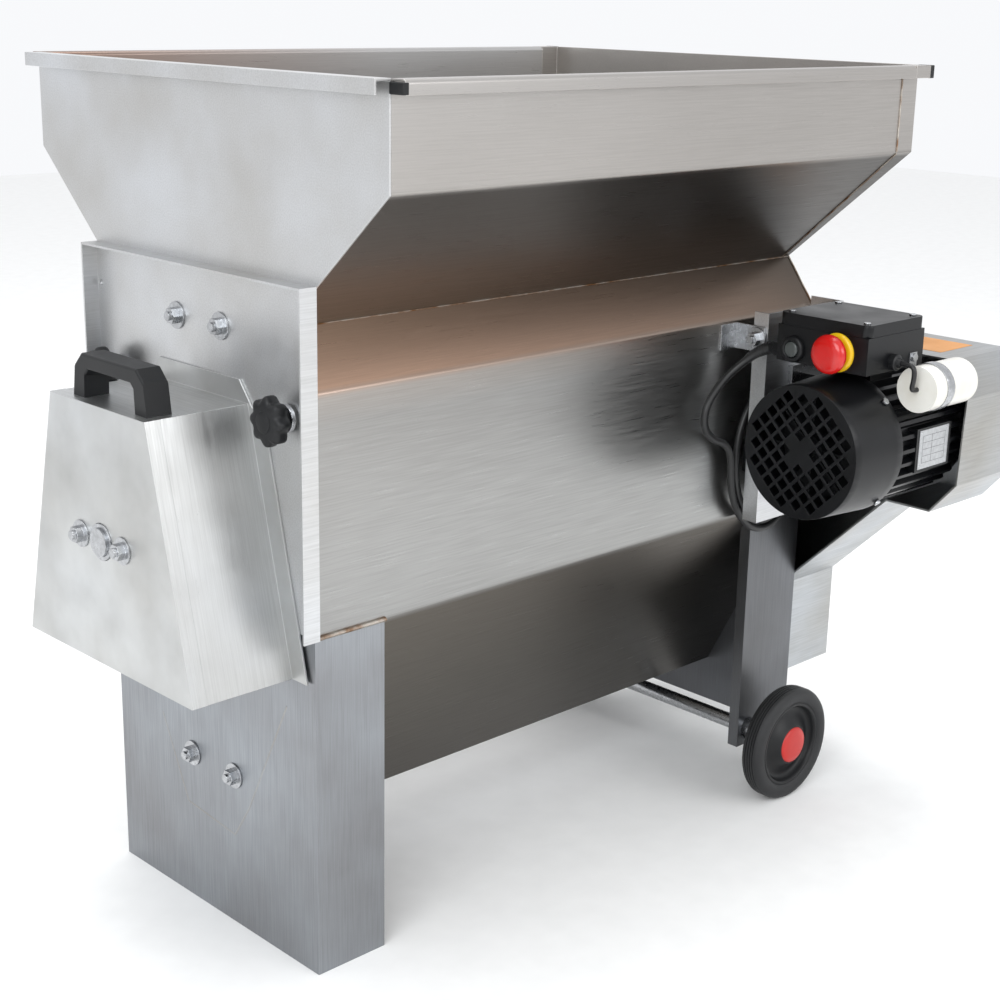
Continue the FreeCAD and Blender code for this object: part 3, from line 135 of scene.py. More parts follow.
lamp("window", (-2.6, -1.6, 2.4), (0.2, 0, 0.4), (2.2, 2.2), 62, (0.95, 0.98, 1.0))
lamp("front_panel", (0.9, -3.2, 1.7), (0.35, 0, 0.5), (2.4, 1.2), 34)
lamp("overhead", (0.4, 0.3, 3.0), (0.35, 0, 0.6), (2.0, 2.0), 36)
world = bpy.data.worlds.new("studio")
world.use_nodes = True
world.node_tree.nodes["Background"].inputs["Color"].default_value = (0.97, 0.98, 1.0, 1)
world.node_tree.nodes["Background"].inputs["Strength"].default_value = 0.97
bpy.context.scene.world = world
bpy.context.scene.view_settings.view_transform = "Standard"

# %% [markdown]
# A material is a small network of nodes. One function adds a node, sets what it is given
# and links what is a socket, and one turns a hex colour to the linear numbers Blender uses.


# %% Material helpers
def linear(code):
    """sRGB hex to linear red, green, blue, alpha."""
    channels = [int(code[i:i + 2], 16) / 255 for i in (1, 3, 5)]
    return tuple(c / 12.92 if c <= 0.04045 else ((c + 0.055) / 1.055) ** 2.4 for c in channels) + (1.0,)


def add(tree, kind, settings=(), **inputs):
    """A new node with its settings; an input is a value or another node's socket."""
    node = tree.nodes.new(kind)
    for key, value in dict(settings).items():
        setattr(node, key, value)
    for key, value in inputs.items():
        socket = node.inputs[int(key[1:])] if key[0] == "i" and key[1:].isdigit() else \
            node.inputs[key.replace("_", " ")]
        if isinstance(value, bpy.types.NodeSocket):
            tree.links.new(value, socket)
        else:
            socket.default_value = value
    return node


def new_material(name, **constants):
    """A material with its shader's constant values set on the shader's own sockets."""
    material = bpy.data.materials.new(name)
    material.use_nodes = True
    tree = material.node_tree
    shader = tree.nodes["Principled BSDF"]
    for key, value in constants.items():
        shader.inputs[key.replace("_", " ")].default_value = value
    place = add(tree, "ShaderNodeTexCoord").outputs["Object"]
    return material, tree, shader, place


def noise(tree, place, spacing, stretch=(1, 1, 1), detail=3.0, offset=(0, 0, 0)):
    """Noise whose grains lie SPACING millimetres apart, pulled longer along an axis."""
    scale = tuple(1 / (spacing * MM * s) for s in stretch)
    moved = add(tree, "ShaderNodeMapping", Vector=place, Scale=scale, Location=offset)
    return add(tree, "ShaderNodeTexNoise", Vector=moved.outputs[0], Scale=1.0, Detail=detail).outputs["Fac"]


def spread(tree, value, low_end, high_end, from_low=0.3, from_high=0.7):
    """A value between two limits, for roughness and the like."""
    return add(tree, "ShaderNodeMapRange", i0=value, i1=from_low, i2=from_high, i3=low_end,
               i4=high_end).outputs[0]


def blend_colours(tree, share, first, second):
    first = linear(first) if isinstance(first, str) else first
    second = linear(second) if isinstance(second, str) else second
    return add(tree, "ShaderNodeMix", {"data_type": "RGBA"}, i0=share, i6=first, i7=second).outputs[2]


def bump(tree, shader, height, depth, strength=1.0):
    node = add(tree, "ShaderNodeBump", Strength=strength, Distance=depth * MM, Height=height)
    tree.links.new(node.outputs[0], shader.inputs["Normal"])


# %% [markdown]
# The sheet is stainless steel, brushed in the mill. Brushing leaves fine lines all one way,
# about 0.4 mm apart, too fine to show, so they are drawn 1.3 mm apart. Handling and pickling
# after welding leave soft cloudy patches that are a little duller and warmer.


# %% Brushed stainless
def brushed_stainless(name, colour="#D9DBDE", cloud="#C6C5C3", grain=(40, 1, 1), rough=(0.3, 0.44)):
    material, tree, shader, place = new_material(name, Metallic=1.0)
    lines = noise(tree, place, 1.3, grain, detail=4)
    clouds = noise(tree, place, 130, detail=4)
    smears = noise(tree, place, 28, (3, 1, 2), detail=6, offset=(3, 1, 2))
    tone = blend_colours(tree, spread(tree, clouds, 0, 1), colour, cloud)
    lined = blend_colours(tree, spread(tree, lines, 0, 0.16), tone, "#55524E")
    tree.links.new(lined, shader.inputs["Base Color"])
    both = add(tree, "ShaderNodeMath", {"operation": "ADD"}, i0=spread(tree, lines, *rough),
               i1=spread(tree, smears, -0.04, 0.07)).outputs[0]
    tree.links.new(both, shader.inputs["Roughness"])
    bump(tree, shader, lines, 0.03, 0.5)
    return material


# Stainless with painted shade and painted reflection: the colour is darkened by height and towards the far
# end, where the sheet lies in shade or mirrors dark parts.
def stainless_with_painted_shade(name, stops, far_stops, far_x=660, grain=(40, 1, 1), rough=(0.27, 0.38)):
    """Brushed stainless with painted shade and painted reflection: its tone changes with height,
    and from the stem end to the far end. Stops are (height in mm, colour); the second list holds at x =
    far_x."""
    material, tree, shader, place = new_material(name, Metallic=1.0)
    lines = noise(tree, place, 1.3, grain, detail=4)
    clouds = noise(tree, place, 150, (2.5, 1, 1), detail=4)
    parts = add(tree, "ShaderNodeSeparateXYZ", Vector=place)
    bottom, top = stops[0][0], stops[-1][0]
    share = add(tree, "ShaderNodeMapRange", i0=parts.outputs[2], i1=bottom * MM, i2=top * MM).outputs[0]
    tones = []
    for row in (stops, far_stops):
        ramp = add(tree, "ShaderNodeValToRGB", Fac=share)
        ramp.color_ramp.elements.remove(ramp.color_ramp.elements[1])
        for i, (z, colour) in enumerate(row):
            here = (z - bottom) / (top - bottom)
            element = ramp.color_ramp.elements[0] if i == 0 else ramp.color_ramp.elements.new(here)
            element.position = here
            element.color = linear(colour)
        tones.append(ramp.outputs[0])
    along = add(tree, "ShaderNodeMapRange", i0=parts.outputs[0], i1=0.0, i2=far_x * MM).outputs[0]
    tone = add(tree, "ShaderNodeMix", {"data_type": "RGBA"}, i0=along, i6=tones[0], i7=tones[1]).outputs[2]
    clouded = blend_colours(tree, spread(tree, clouds, 0, 0.2), tone, "#6E6862")
    lined = blend_colours(tree, spread(tree, lines, 0, 0.14), clouded, "#4E4A45")
    tree.links.new(lined, shader.inputs["Base Color"])
    tree.links.new(spread(tree, lines, *rough), shader.inputs["Roughness"])
    bump(tree, shader, lines, 0.03, 0.5)
    return material


stainless = brushed_stainless("brushed stainless sheet")
cover_steel = brushed_stainless("brushed stainless cover sheet", "#D0D2D3", "#BBBBB9", grain=(1, 40, 40))
# Painted shade: the leg panel is a darker copy of the sheet steel, for the shade it stands in low down.
leg_steel = brushed_stainless("brushed stainless leg panel with painted shade", "#9EA2A7", "#8C8D90", grain=(1, 1, 40))
# Painted shade: the right leg is a still darker copy of the sheet steel, for the shade of the motor on it.
side_steel = brushed_stainless("brushed stainless right leg in painted shade", "#74767A", "#68696B", grain=(1, 1, 40))
guard_steel = brushed_stainless("brushed stainless guard sheet", "#B9BDC1", "#ABA9A4")
trough_mark = brushed_stainless("ground back weld", "#A6A7A8", "#8F8A84", grain=(1, 1, 12))
inner_steel = brushed_stainless("stainless sheet inside the body", "#8F8C88", "#7D7974", rough=(0.36, 0.5))
# Painted shade: the hopper's slope below the knee, 575 to 692 mm, is dark brown and darker still towards the
# far end; the upright part above stays light.
hopper_steel = stainless_with_painted_shade(
    "brushed stainless hopper wall with painted shade",
    ((575, "#7C746C"), (640, "#6C6661"), (692, "#5F5B57"), (699, "#BEBAB6"), (785, "#C4C1BE")),
    ((575, "#3E3B39"), (640, "#3A3836"), (692, "#383634"), (699, "#BAB6B2"), (785, "#BEBAB6")))
# Painted reflection: the hopper back wall is warm brown near the stem end and light grey from x = 420 mm on,
# and its lower part is darker as painted shade.
hopper_inner = stainless_with_painted_shade(
    "brushed stainless hopper back wall with painted reflection",
    ((575, "#5A5047"), (692, "#6A564A"), (720, "#85685A"), (785, "#8F7263")),
    ((575, "#5A5654"), (692, "#8E8C8A"), (720, "#BCBBBA"), (785, "#C4C3C2")), far_x=420)
# Painted shade and painted reflection: the body's lower walls up to 314 mm are dark, and the upper slope from
# 524 mm is warm near the stem end and dark towards the far end, where it mirrors the hopper's underside.
body_steel = stainless_with_painted_shade(
    "brushed stainless body wall with painted shade",
    ((90, "#5C5853"), (200, "#66625B"), (314, "#716B63"), (322, "#A6A6A5"), (500, "#A6A5A3"),
     (524, "#B1ABA6"), (532, "#CFAA92"), (580, "#A58D7A")),
    ((90, "#45433F"), (200, "#4B4844"), (314, "#55514C"), (322, "#A6A7A6"), (500, "#A4A5A5"),
     (524, "#8C8781"), (532, "#6A5D53"), (580, "#4E4741")))
print("stainless finishes ready")

# %% [markdown]
# Turned and rolled steel parts, such as shafts, bolts and washers, are brighter and smoother.
# The weld bead is rougher and carries the brown of the heat.


# %% Other metals
def machined_steel(name, colour="#BCBEC1", dull="#A7A8AA", rough=(0.24, 0.34)):
    material, tree, shader, place = new_material(name, Metallic=1.0)
    grain = noise(tree, place, 4, detail=5)
    tree.links.new(blend_colours(tree, spread(tree, grain, 0, 1), colour, dull), shader.inputs["Base Color"])
    tree.links.new(spread(tree, grain, *rough), shader.inputs["Roughness"])
    bump(tree, shader, noise(tree, place, 3.0, detail=2), 0.004, 0.15)
    return material


def heat_tinted_weld(name, colour="#B6AFA6", burnt="#7C5A3C"):
    material, tree, shader, place = new_material(name, Metallic=1.0)
    patches = noise(tree, place, 16, detail=4)
    tree.links.new(blend_colours(tree, spread(tree, patches, 0, 1, 0.4, 0.65), colour, burnt),
                   shader.inputs["Base Color"])
    tree.links.new(spread(tree, patches, 0.3, 0.5), shader.inputs["Roughness"])
    bump(tree, shader, noise(tree, place, 1.6, detail=3), 0.25, 0.7)
    return material


bright_steel = machined_steel("zinc plated and turned steel")
cast_iron = machined_steel("machined cast iron", "#6B6C6E", "#5A5B5D", (0.42, 0.5))
weld_metal = heat_tinted_weld("tig weld bead")

# %% [markdown]
# The motor is painted aluminium, and its cowl, box and knobs are moulded ABS and nylon. Both
# are satin black: a fine mould grain breaks up the highlight, and dust dulls what faces up.


# %% Plastics, paint and rubber
def moulded(name, colour, worn, rough=(0.38, 0.5), grain_mm=1.1, grain_depth=0.05, dust=0.0, **constants):
    material, tree, shader, place = new_material(name, **constants)
    patches = noise(tree, place, 35, detail=5)
    tone = blend_colours(tree, spread(tree, patches, 0, 1), colour, worn)
    if dust:
        facing = add(tree, "ShaderNodeNewGeometry").outputs["Normal"]
        upward = add(tree, "ShaderNodeSeparateXYZ", Vector=facing).outputs[2]
        settled = spread(tree, upward, 0, dust, 0.5, 1.0)
        tone = blend_colours(tree, settled, tone, "#8C8A86")
    tree.links.new(tone, shader.inputs["Base Color"])
    tree.links.new(spread(tree, patches, *rough), shader.inputs["Roughness"])
    bump(tree, shader, noise(tree, place, grain_mm, detail=2), grain_depth, 0.5)
    return material


black_nylon = moulded("moulded black nylon", "#0D0E10", "#151618", Specular_IOR_Level=0.35)
black_abs = moulded("satin black ABS", "#08090B", "#0E0F12", (0.3, 0.4), dust=0.01,
                    Specular_IOR_Level=0.3)
black_paint = moulded("satin black paint on aluminium", "#08090B", "#0F1012", (0.26, 0.4), 2.2, 0.06,
                      Specular_IOR_Level=0.35)
red_abs = moulded("glossy red ABS", "#C81A18", "#B21412", (0.16, 0.26), 3, 0.02, Coat_Weight=0.3)
yellow_abs = moulded("glossy yellow ABS", "#E8BE1A", "#D9AE14", (0.22, 0.32), 3, 0.02)
green_abs = moulded("dark green button plastic", "#4A4E4D", "#3C403F", (0.2, 0.3), 3, 0.02)
white_shell = moulded("white polypropylene capacitor shell", "#E4E3DE", "#D6D3C9", (0.25, 0.36), 4, 0.02)
hub_red = moulded("red moulded wheel cap", "#C4261F", "#AA1F1A", (0.28, 0.4), 2, 0.04)
tyre_rubber = moulded("wheel tyre rubber", "#121315", "#1C1D1F", (0.5, 0.66), 1.4, 0.1, dust=0.06)
roller_rubber = moulded("food grade roller rubber", "#25262A", "#303136", (0.5, 0.65), 1.4, 0.08)
belt_rubber = moulded("drive belt rubber", "#1A1A1A", "#262422", (0.6, 0.75), 1.2, 0.1)
cord_pvc = moulded("black PVC cord sheath", "#121213", "#1C1C1D", (0.34, 0.46), 1.5, 0.03)
pale_floor = moulded("pale studio floor", "#F8F8F7", "#F4F4F3", (0.7, 0.8), 6, 0.02)
floor.data.materials.append(pale_floor)
print("materials:", len(bpy.data.materials))


# %% [markdown]
# Each CAD node keeps its mesh and takes a finish. Sheet and moulded parts also have their
# sharp corners rounded a little, as a deburred edge is, because the eye reads an edge by
# the thin line of light along it. Flat faces are first joined into one face each, so that
# the rounding starts from clean edges; the round fan cowl has none and is left as it is.


# %% Finish the CAD nodes
def rounded_edge(thing, width, flat_faces=True):
    weld = thing.modifiers.new("weld", "WELD")
    weld.merge_threshold = 1e-6
    if flat_faces:
        flat = thing.modifiers.new("flat faces", "DECIMATE")
        flat.decimate_type = "DISSOLVE"
        flat.angle_limit = math.radians(0.5)
    bevel = thing.modifiers.new("edge", "BEVEL")
    bevel.width = width * MM
    bevel.segments = 2
    bevel.limit_method = "ANGLE"
    bevel.angle_limit = math.radians(38)
    bevel.harden_normals = True


def finish_node(name, material, edge=0.0):
    thing = nodes[name]
    thing.data.materials.clear()
    thing.data.materials.append(material)
    if edge:
        rounded_edge(thing, edge, flat_faces=name != "fan_cowl")


FINISHES = (
    (stainless, 0.5, "hopper_left_end hopper_right_end body_left_end_wall end_plate motor_plate"),
    (leg_steel, 0.5, "left_leg_panel"),
    (side_steel, 0.5, "right_leg_panel"),
    (cover_steel, 0.6, "stem_cover"),
    (guard_steel, 0.6, "transmission_guard feed_drive_cover"),
    (inner_steel, 0.0, "drum drum_rings feed_trough"),
    (bright_steel, 0.3, "cover_bearing flange_bolts small_fixings axle capacitor_clamp motor_mounting"),
    (bright_steel, 0.0, "beater front_roller_gear back_roller_gear feed_sprocket drive_chains motor_rotor"),
    (cast_iron, 0.0, "flange_bearings beater_pulley motor_pulley"),
    (roller_rubber, 0.0, "front_roller back_roller"),
    (belt_rubber, 0.0, "drive_belt"),
    (black_paint, 0.25, "motor_stator"),
    (black_paint, 0.0, "motor_end_shields"),
    (black_abs, 0.5, "fan_cowl control_box control_box_lid"),
    (black_nylon, 0.0, "cooling_fan cover_handle mains_plug"),
    (white_shell, 0.0, "capacitor"),
)
for material, edge, names in FINISHES:
    for name in names.split():
        finish_node(name, material, edge)
print("finished", sum(len(names.split()) for _, _, names in FINISHES), "CAD nodes")

# %% [markdown]
# The rest is built again. A closed surface is a row of rings of points, joined ring to ring:
# the last ring meets the first, or both ends are capped. The sign of its volume tells
# whether the faces look outward, and if they don't, they are turned.


# %% Surface helpers
def turned_outward(verts, faces):
    verts = np.asarray(verts, float)
    volume = sum(np.dot(verts[f[0]], np.cross(verts[f[i]], verts[f[i + 1]]))
                 for f in faces for i in range(1, len(f) - 1))
    return verts, [f if volume > 0 else f[::-1] for f in faces]


def loft(rings, closed=False):
    """A shell through rings that all have the same number of points."""
    rings = np.asarray(rings, float)
    rows, count = rings.shape[:2]
    faces = []
    for i in range(rows if closed else rows - 1):
        below, above = i * count, (i + 1) % rows * count
        for j in range(count):
            k = (j + 1) % count
            faces.append((below + j, below + k, above + k, above + j))
    if not closed:
        faces += [tuple(range(count))[::-1], tuple((rows - 1) * count + j for j in range(count))]
    return turned_outward(rings.reshape(-1, 3), faces)


def lathe(axis, centre, profile, closed=False, steps=96, lobes=lambda along, radius, angle: radius):
    """A turned shape: the profile is (place along the axis, radius); lobes may vary the radius."""
    angles = np.arange(steps) * 2 * math.pi / steps
    rings = []
    for along, radius in profile:
        sizes = np.array([lobes(along, radius, a) for a in angles])
        a, b = sizes * np.cos(angles), sizes * np.sin(angles)
        if axis == "x":
            ring = np.stack([np.full(steps, along), centre[0] + a, centre[1] + b], 1)
        else:
            ring = np.stack([centre[0] + a, np.full(steps, along), centre[1] + b], 1)
        rings.append(ring)
    return loft(rings, closed)


def sweep(points, section, grow=lambda i: 1.0, up=(0, 0, 1)):
    """A section of (side, height) points carried along a line of points."""
    points = np.asarray(points, float)
    rings = []
    for i, point in enumerate(points):
        along = points[min(i + 1, len(points) - 1)] - points[max(i - 1, 0)]
        along = along / np.linalg.norm(along)
        side = np.cross(along, up)
        side = side / np.linalg.norm(side)
        height = np.cross(side, along)
        rings.append([point + grow(i) * (side * s + height * h) for s, h in section])
    return loft(rings)


def block(x0, x1, y0, y1, z0, z1):
    return loft([[(x, y0, z0), (x, y1, z0), (x, y1, z1), (x, y0, z1)] for x in (x0, x1)])


def rounded(path, radii, step=math.radians(7.5)):
    """A polyline with each inner corner turned into an arc; radii are one number or one each."""
    path = [np.array(p, float) for p in path]
    radii = [radii] * len(path) if isinstance(radii, (int, float)) else radii
    out = [path[0]]
    for before, corner, after, radius in zip(path, path[1:], path[2:], radii[1:]):
        u = (before - corner) / np.linalg.norm(before - corner)
        v = (after - corner) / np.linalg.norm(after - corner)
        turn = math.pi - math.acos(np.clip(np.dot(u, v), -1, 1))
        if turn < 0.02 or radius <= 0:
            out.append(corner)
            continue
        enter = corner + u * radius * math.tan(turn / 2)
        centre = corner + (u + v) / np.linalg.norm(u + v) * radius / math.cos(turn / 2)
        count = max(3, int(turn / step))
        sign = 1 if u[0] * v[1] - u[1] * v[0] < 0 else -1
        for k in range(count + 1):
            angle = sign * turn * k / count
            d = enter - centre
            out.append(centre + np.array([d[0] * math.cos(angle) - d[1] * math.sin(angle),
                                          d[0] * math.sin(angle) + d[1] * math.cos(angle)]))
    return out + [path[-1]]


def piece(name, shells, material, body, nodes_gone=(), edge=0.0, smooth=40):
    """One object from closed shells in millimetres, riding its body."""
    shells = shells if isinstance(shells, list) else [shells]
    verts, faces, start = [], [], 0
    for shell_verts, shell_faces in shells:
        verts.append(shell_verts * MM)
        faces += [tuple(start + i for i in f) for f in shell_faces]
        start += len(shell_verts)
    thing = plain_mesh(name, np.concatenate(verts).tolist(), faces)
    thing.data.materials.append(material)
    thing.data.shade_smooth()
    thing.data.set_sharp_from_angle(angle=math.radians(smooth))
    if edge:
        rounded_edge(thing, edge)
    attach(thing, body)
    if nodes_gone:
        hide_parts(*nodes_gone)
    return thing


# %% [markdown]
# The long walls are one sheet each, bent on a press brake over a 3 mm nose, so every fold is
# a small arc of constant thickness. Each back wall is the front one mirrored.


# %% Long walls of the body and hopper
BEND = 3.0
RIM_WIDTH = 16.0
RIM_DROP = 12.0


def bent_sheet(path, radii, x0, x1):
    """The sheet's outer skin is a path of (y, z); its thickness is to the right of the way up."""
    outer = rounded(path, radii)
    back = []
    for i, point in enumerate(outer):
        before, after = outer[max(i - 1, 0)], outer[min(i + 1, len(outer) - 1)]
        along = (after - before) / np.linalg.norm(after - before)
        back.append(point + SHEET * np.array([along[1], -along[0]]))
    ring = outer + back[::-1]
    return loft([[(x, p[0], p[1]) for p in ring] for x in (x0, x1)])


def mirrored(shell):
    verts, faces = shell
    return turned_outward(verts * (1, -1, 1), faces)


under_rim = rim_z - SHEET
drop_y = -hopper_half - RIM_WIDTH + SHEET
body_sheet = bent_sheet([(-OUTLET_HALF, outlet_z), (-body_half, knee_z), (-body_half, SHOULDER_Z),
                         (-NECK_HALF, neck_z)], BEND + SHEET, SHEET / 2, right_x - SHEET)
hopper_sheet = bent_sheet([(-NECK_HALF, neck_z), (-hopper_half, HOPPER_KNEE_Z), (-hopper_half, under_rim),
                           (drop_y, under_rim), (drop_y, rim_z - RIM_DROP)],
                          [0, BEND + SHEET, 2, 2, 0], SHEET / 2, seam_x)
# The long walls and the right end walls carry the painted shade and painted reflection of the hopper and body
# materials.
for wall, shell, steel in (("body", body_sheet, body_steel), ("hopper", hopper_sheet, hopper_steel)):
    piece(f"{wall}_front_sheet", shell, steel, "frame", [f"{wall}_front_wall"], edge=0.5)
    back_steel = hopper_inner if wall == "hopper" else body_steel
    piece(f"{wall}_back_sheet", mirrored(shell), back_steel, "frame",
          [f"{wall}_back_wall"], edge=0.5)
finish_node("hopper_right_end", hopper_steel, 0.5)
finish_node("body_right_end_wall", body_steel, 0.5)
print("long walls bent:", len(body_sheet[0]), "and", len(hopper_sheet[0]), "points")

# %% [markdown]
# The panels are TIG welded. A bead is a low ridge 2 to 5 mm wide with a ripple every 1.2 mm,
# where the welder dipped the rod, and it sinks half its depth into the joint. The trough is
# welded behind the left leg, and the heat leaves its outline faintly on the leg's face.


# %% Weld beads
BEAD_RIPPLE = 1.2


def bead(line, width=3.0, height=1.5, up=(0, 0, 1)):
    line = [np.array(p, float) for p in line]
    points = []
    for start, end in zip(line, line[1:]):
        count = max(2, int(np.linalg.norm(end - start) / (BEAD_RIPPLE / 3)))
        points += [start + (end - start) * k / count for k in range(count)]
    points.append(line[-1])
    around = np.arange(8) * math.pi / 4
    section = [(width / 2 * math.cos(a), height / 2 * math.sin(a)) for a in around]
    return sweep(points, section, lambda i: 1 + 0.16 * abs(math.sin(math.pi * i / 3)), up)


leg_right = high("left_leg_panel")[0]
face_x = low("left_leg_panel")[0]
trough = [(82, 177), (43, 98), (-32, 91), (-55, 126), (-114, 245)]
left_x = SHEET / 2
along_x = (1, 0, 0)
welds = []
for side in (-1, 1):
    leg_y, hopper_y = side * (body_half + 0.4), side * hopper_half
    neck_y, body_y = side * NECK_HALF, side * body_half
    welds += [
        bead([(left_x, leg_y, knee_z), (leg_right, leg_y, knee_z)], 5.0, 4.0),
        bead([(seam_x, hopper_y, rim_z - 2.5), (seam_x, hopper_y, HOPPER_KNEE_Z + 1)], 2.4, 1.0, up=along_x),
        bead([(seam_x, hopper_y, HOPPER_KNEE_Z), (seam_x, neck_y, neck_z)], 2.4, 1.0, up=along_x),
        bead([(right_x, neck_y, neck_z), (right_x, body_y, SHOULDER_Z)], 2.6, 1.6, up=along_x),
        bead([(left_x, neck_y, neck_z), (right_x, neck_y, neck_z)], 1.8, 1.2),
    ]
stain = [bead([(face_x, *a), (face_x, *b)], 1.8, 0.4, up=along_x) for a, b in zip(trough, trough[1:])]
piece("weld_beads", welds, weld_metal, "frame")
piece("trough_weld_marks", stain, trough_mark, "frame")
print("weld beads:", len(welds) + len(stain))

# %% [markdown]
# The feed auger is a true screw: a 3 mm flight wound round the shaft, one turn every 80 mm.


# %% Feed auger
feed_z = (low("feed_sprocket")[2] + high("feed_sprocket")[2]) / 2
auger_low, auger_high = low("feed_auger"), high("feed_auger")
FLIGHT_PITCH = 80.0
FLIGHT_RADIUS = 44.0
FLIGHT_THICK = 3.0
SHAFT_RADIUS = 10.0
flight_x0, flight_x1 = left_x + 44, right_x - SHEET - 26
shaft_x0, shaft_x1 = auger_low[0], auger_high[0]
shaft = lathe("x", (0, feed_z), [(shaft_x0, SHAFT_RADIUS - 1), (shaft_x0 + 1, SHAFT_RADIUS),
                                 (shaft_x1 - 1, SHAFT_RADIUS), (shaft_x1, SHAFT_RADIUS - 1)], steps=48)
rings = []
turns = (flight_x1 - flight_x0) / FLIGHT_PITCH
STEPS_PER_TURN = 60
for k in range(int(turns * STEPS_PER_TURN) + 1):
    angle = 2 * math.pi * k / STEPS_PER_TURN
    x = flight_x0 + FLIGHT_PITCH * k / STEPS_PER_TURN
    c, s = math.cos(angle), math.sin(angle)
    rings.append([(x + dx, r * s, feed_z + r * c) for r, dx in
                  ((SHAFT_RADIUS - 1, -FLIGHT_THICK / 2), (FLIGHT_RADIUS - 0.5, -FLIGHT_THICK / 2),
                   (FLIGHT_RADIUS, 0), (FLIGHT_RADIUS - 0.5, FLIGHT_THICK / 2),
                   (SHAFT_RADIUS - 1, FLIGHT_THICK / 2))])
piece("feed_screw", [shaft, loft(rings)], bright_steel, "feed_unit", ["feed_auger"])
print("auger flight turns", round(turns, 2))

# %% [markdown]
# The star knobs have eight soft lobes and a crowned face, on a steel stud with a washer.


# %% Star knobs
knob_low, knob_high = low("front_star_knob"), high("front_star_knob")
knob_x = knob_low[0] + 0.8
knob_y = abs(knob_low[1] + knob_high[1]) / 2
knob_z = (knob_low[2] + knob_high[2]) / 2
print("knob at", round(knob_x, 1), round(knob_y, 1), round(knob_z, 1), "stud to", knob_high[0])


def knob_lobes(along, radius, angle):
    if radius < 14 or along > knob_x + 14.5:
        return radius
    depth = 1.8 * min(1, (radius - 14) / 5)
    return radius - depth + depth * math.cos(8 * angle)


head_profile = [(knob_x - 0.8, 0.5), (knob_x - 0.8, 8.4), (knob_x - 0.5, 9.0), (knob_x, 9.2), (knob_x, 13),
                (knob_x + 0.3, 16.5), (knob_x + 1.0, 19.0), (knob_x + 2.2, 20.6), (knob_x + 3.8, 21.3),
                (knob_x + 6, 21.5), (knob_x + 9, 21.5), (knob_x + 11.4, 21.2), (knob_x + 13.0, 20.2),
                (knob_x + 14, 18.6), (knob_x + 14.4, 16), (knob_x + 14.6, 13), (knob_x + 16, 12.2),
                (knob_x + 20.4, 10.6), (knob_x + 21, 10.0), (knob_x + 21, 4.1)]
stud_profile = [(knob_x + 20.5, 0.5), (knob_x + 20.5, 3.6), (knob_x + 21, 3.6), (knob_x + 21, 11.6),
                (knob_x + 21.4, 12), (knob_x + 24.4, 12), (knob_x + 24.8, 11.6), (knob_x + 24.8, 4)]
stud_end = knob_high[0]
turn_x = knob_x + 24.9
while turn_x < stud_end - 1.4:
    stud_profile += [(turn_x, 3.5), (turn_x + 0.6, 4.0)]
    turn_x += 1.25
stud_profile += [(stud_end - 1, 3.6), (stud_end, 2.8)]
for side, label in ((-1, "front"), (1, "back")):
    centre = (side * knob_y, knob_z)
    piece(f"{label}_knob_head", lathe("x", centre, head_profile, lobes=knob_lobes, steps=128), black_nylon,
          f"{label}_knob", [f"{label}_star_knob"])
    piece(f"{label}_knob_stud", lathe("x", centre, stud_profile, steps=32), bright_steel, f"{label}_knob")

# %% [markdown]
# The stop button is a mushroom 38 mm across on a raised yellow ring. The start button is a
# small flush one in a black ring. Both rings have the soft edges of moulded plastic.


# %% Push buttons
box_face = low("control_box")[0]
stop_y, stop_z = ((low("stop_button") + high("stop_button")) / 2)[1:]
start_y, start_z = ((low("start_button") + high("start_button")) / 2)[1:]


def profile(points):
    """Points are (depth from the box's face, radius); outward is minus."""
    return [(box_face + depth, radius) for depth, radius in points]


stop_cap = profile([(-22, 0.5), (-21.9, 6), (-21.5, 10.5), (-20.6, 14), (-19.2, 16.6), (-17.2, 18.3),
                    (-15, 19), (-13, 19), (-11.6, 18.6), (-11, 17.6), (-11, 9.4), (-10.4, 7.7),
                    (8, 7.7), (10, 7.2)])
yellow_ring = profile([(-0.02, 8.2), (-3.4, 8.2), (-3.9, 8.8), (-4, 10), (-3.8, 15.5), (-3.3, 17.4),
                       (-2.2, 18.6), (-0.8, 19), (-0.02, 19)])
black_ring = profile([(-0.02, 8.3), (-4.4, 8.3), (-4.9, 8.8), (-5, 9.6), (-4.7, 11.4), (-3.8, 12.6),
                      (-2.4, 13), (-0.02, 13)])
start_cap = profile([(-6, 0.5), (-5.9, 4.6), (-5.5, 6.8), (-4.7, 7.6), (-4, 7.7), (5, 7.7), (6, 7)])
piece("stop_mushroom", lathe("x", (stop_y, stop_z), stop_cap), red_abs, "stop_push",
      ["stop_button"])
piece("stop_yellow_ring", lathe("x", (stop_y, stop_z), yellow_ring, closed=True), yellow_abs, "frame",
      ["button_bezels"])
piece("start_black_ring", lathe("x", (start_y, start_z), black_ring, closed=True, steps=64), black_nylon,
      "frame")
piece("start_push_cap", lathe("x", (start_y, start_z), start_cap, steps=64), green_abs, "start_push",
      ["start_button"])
print("buttons at", round(stop_y, 1), round(stop_z, 1), "and", round(start_y, 1), round(start_z, 1))

# %% [markdown]
# Each wheel is a 125 mm barrow wheel: a rubber tyre with four fine grooves round its tread, a
# deep dished hub that rises to a smooth cone, and a domed red cap over the axle's end.

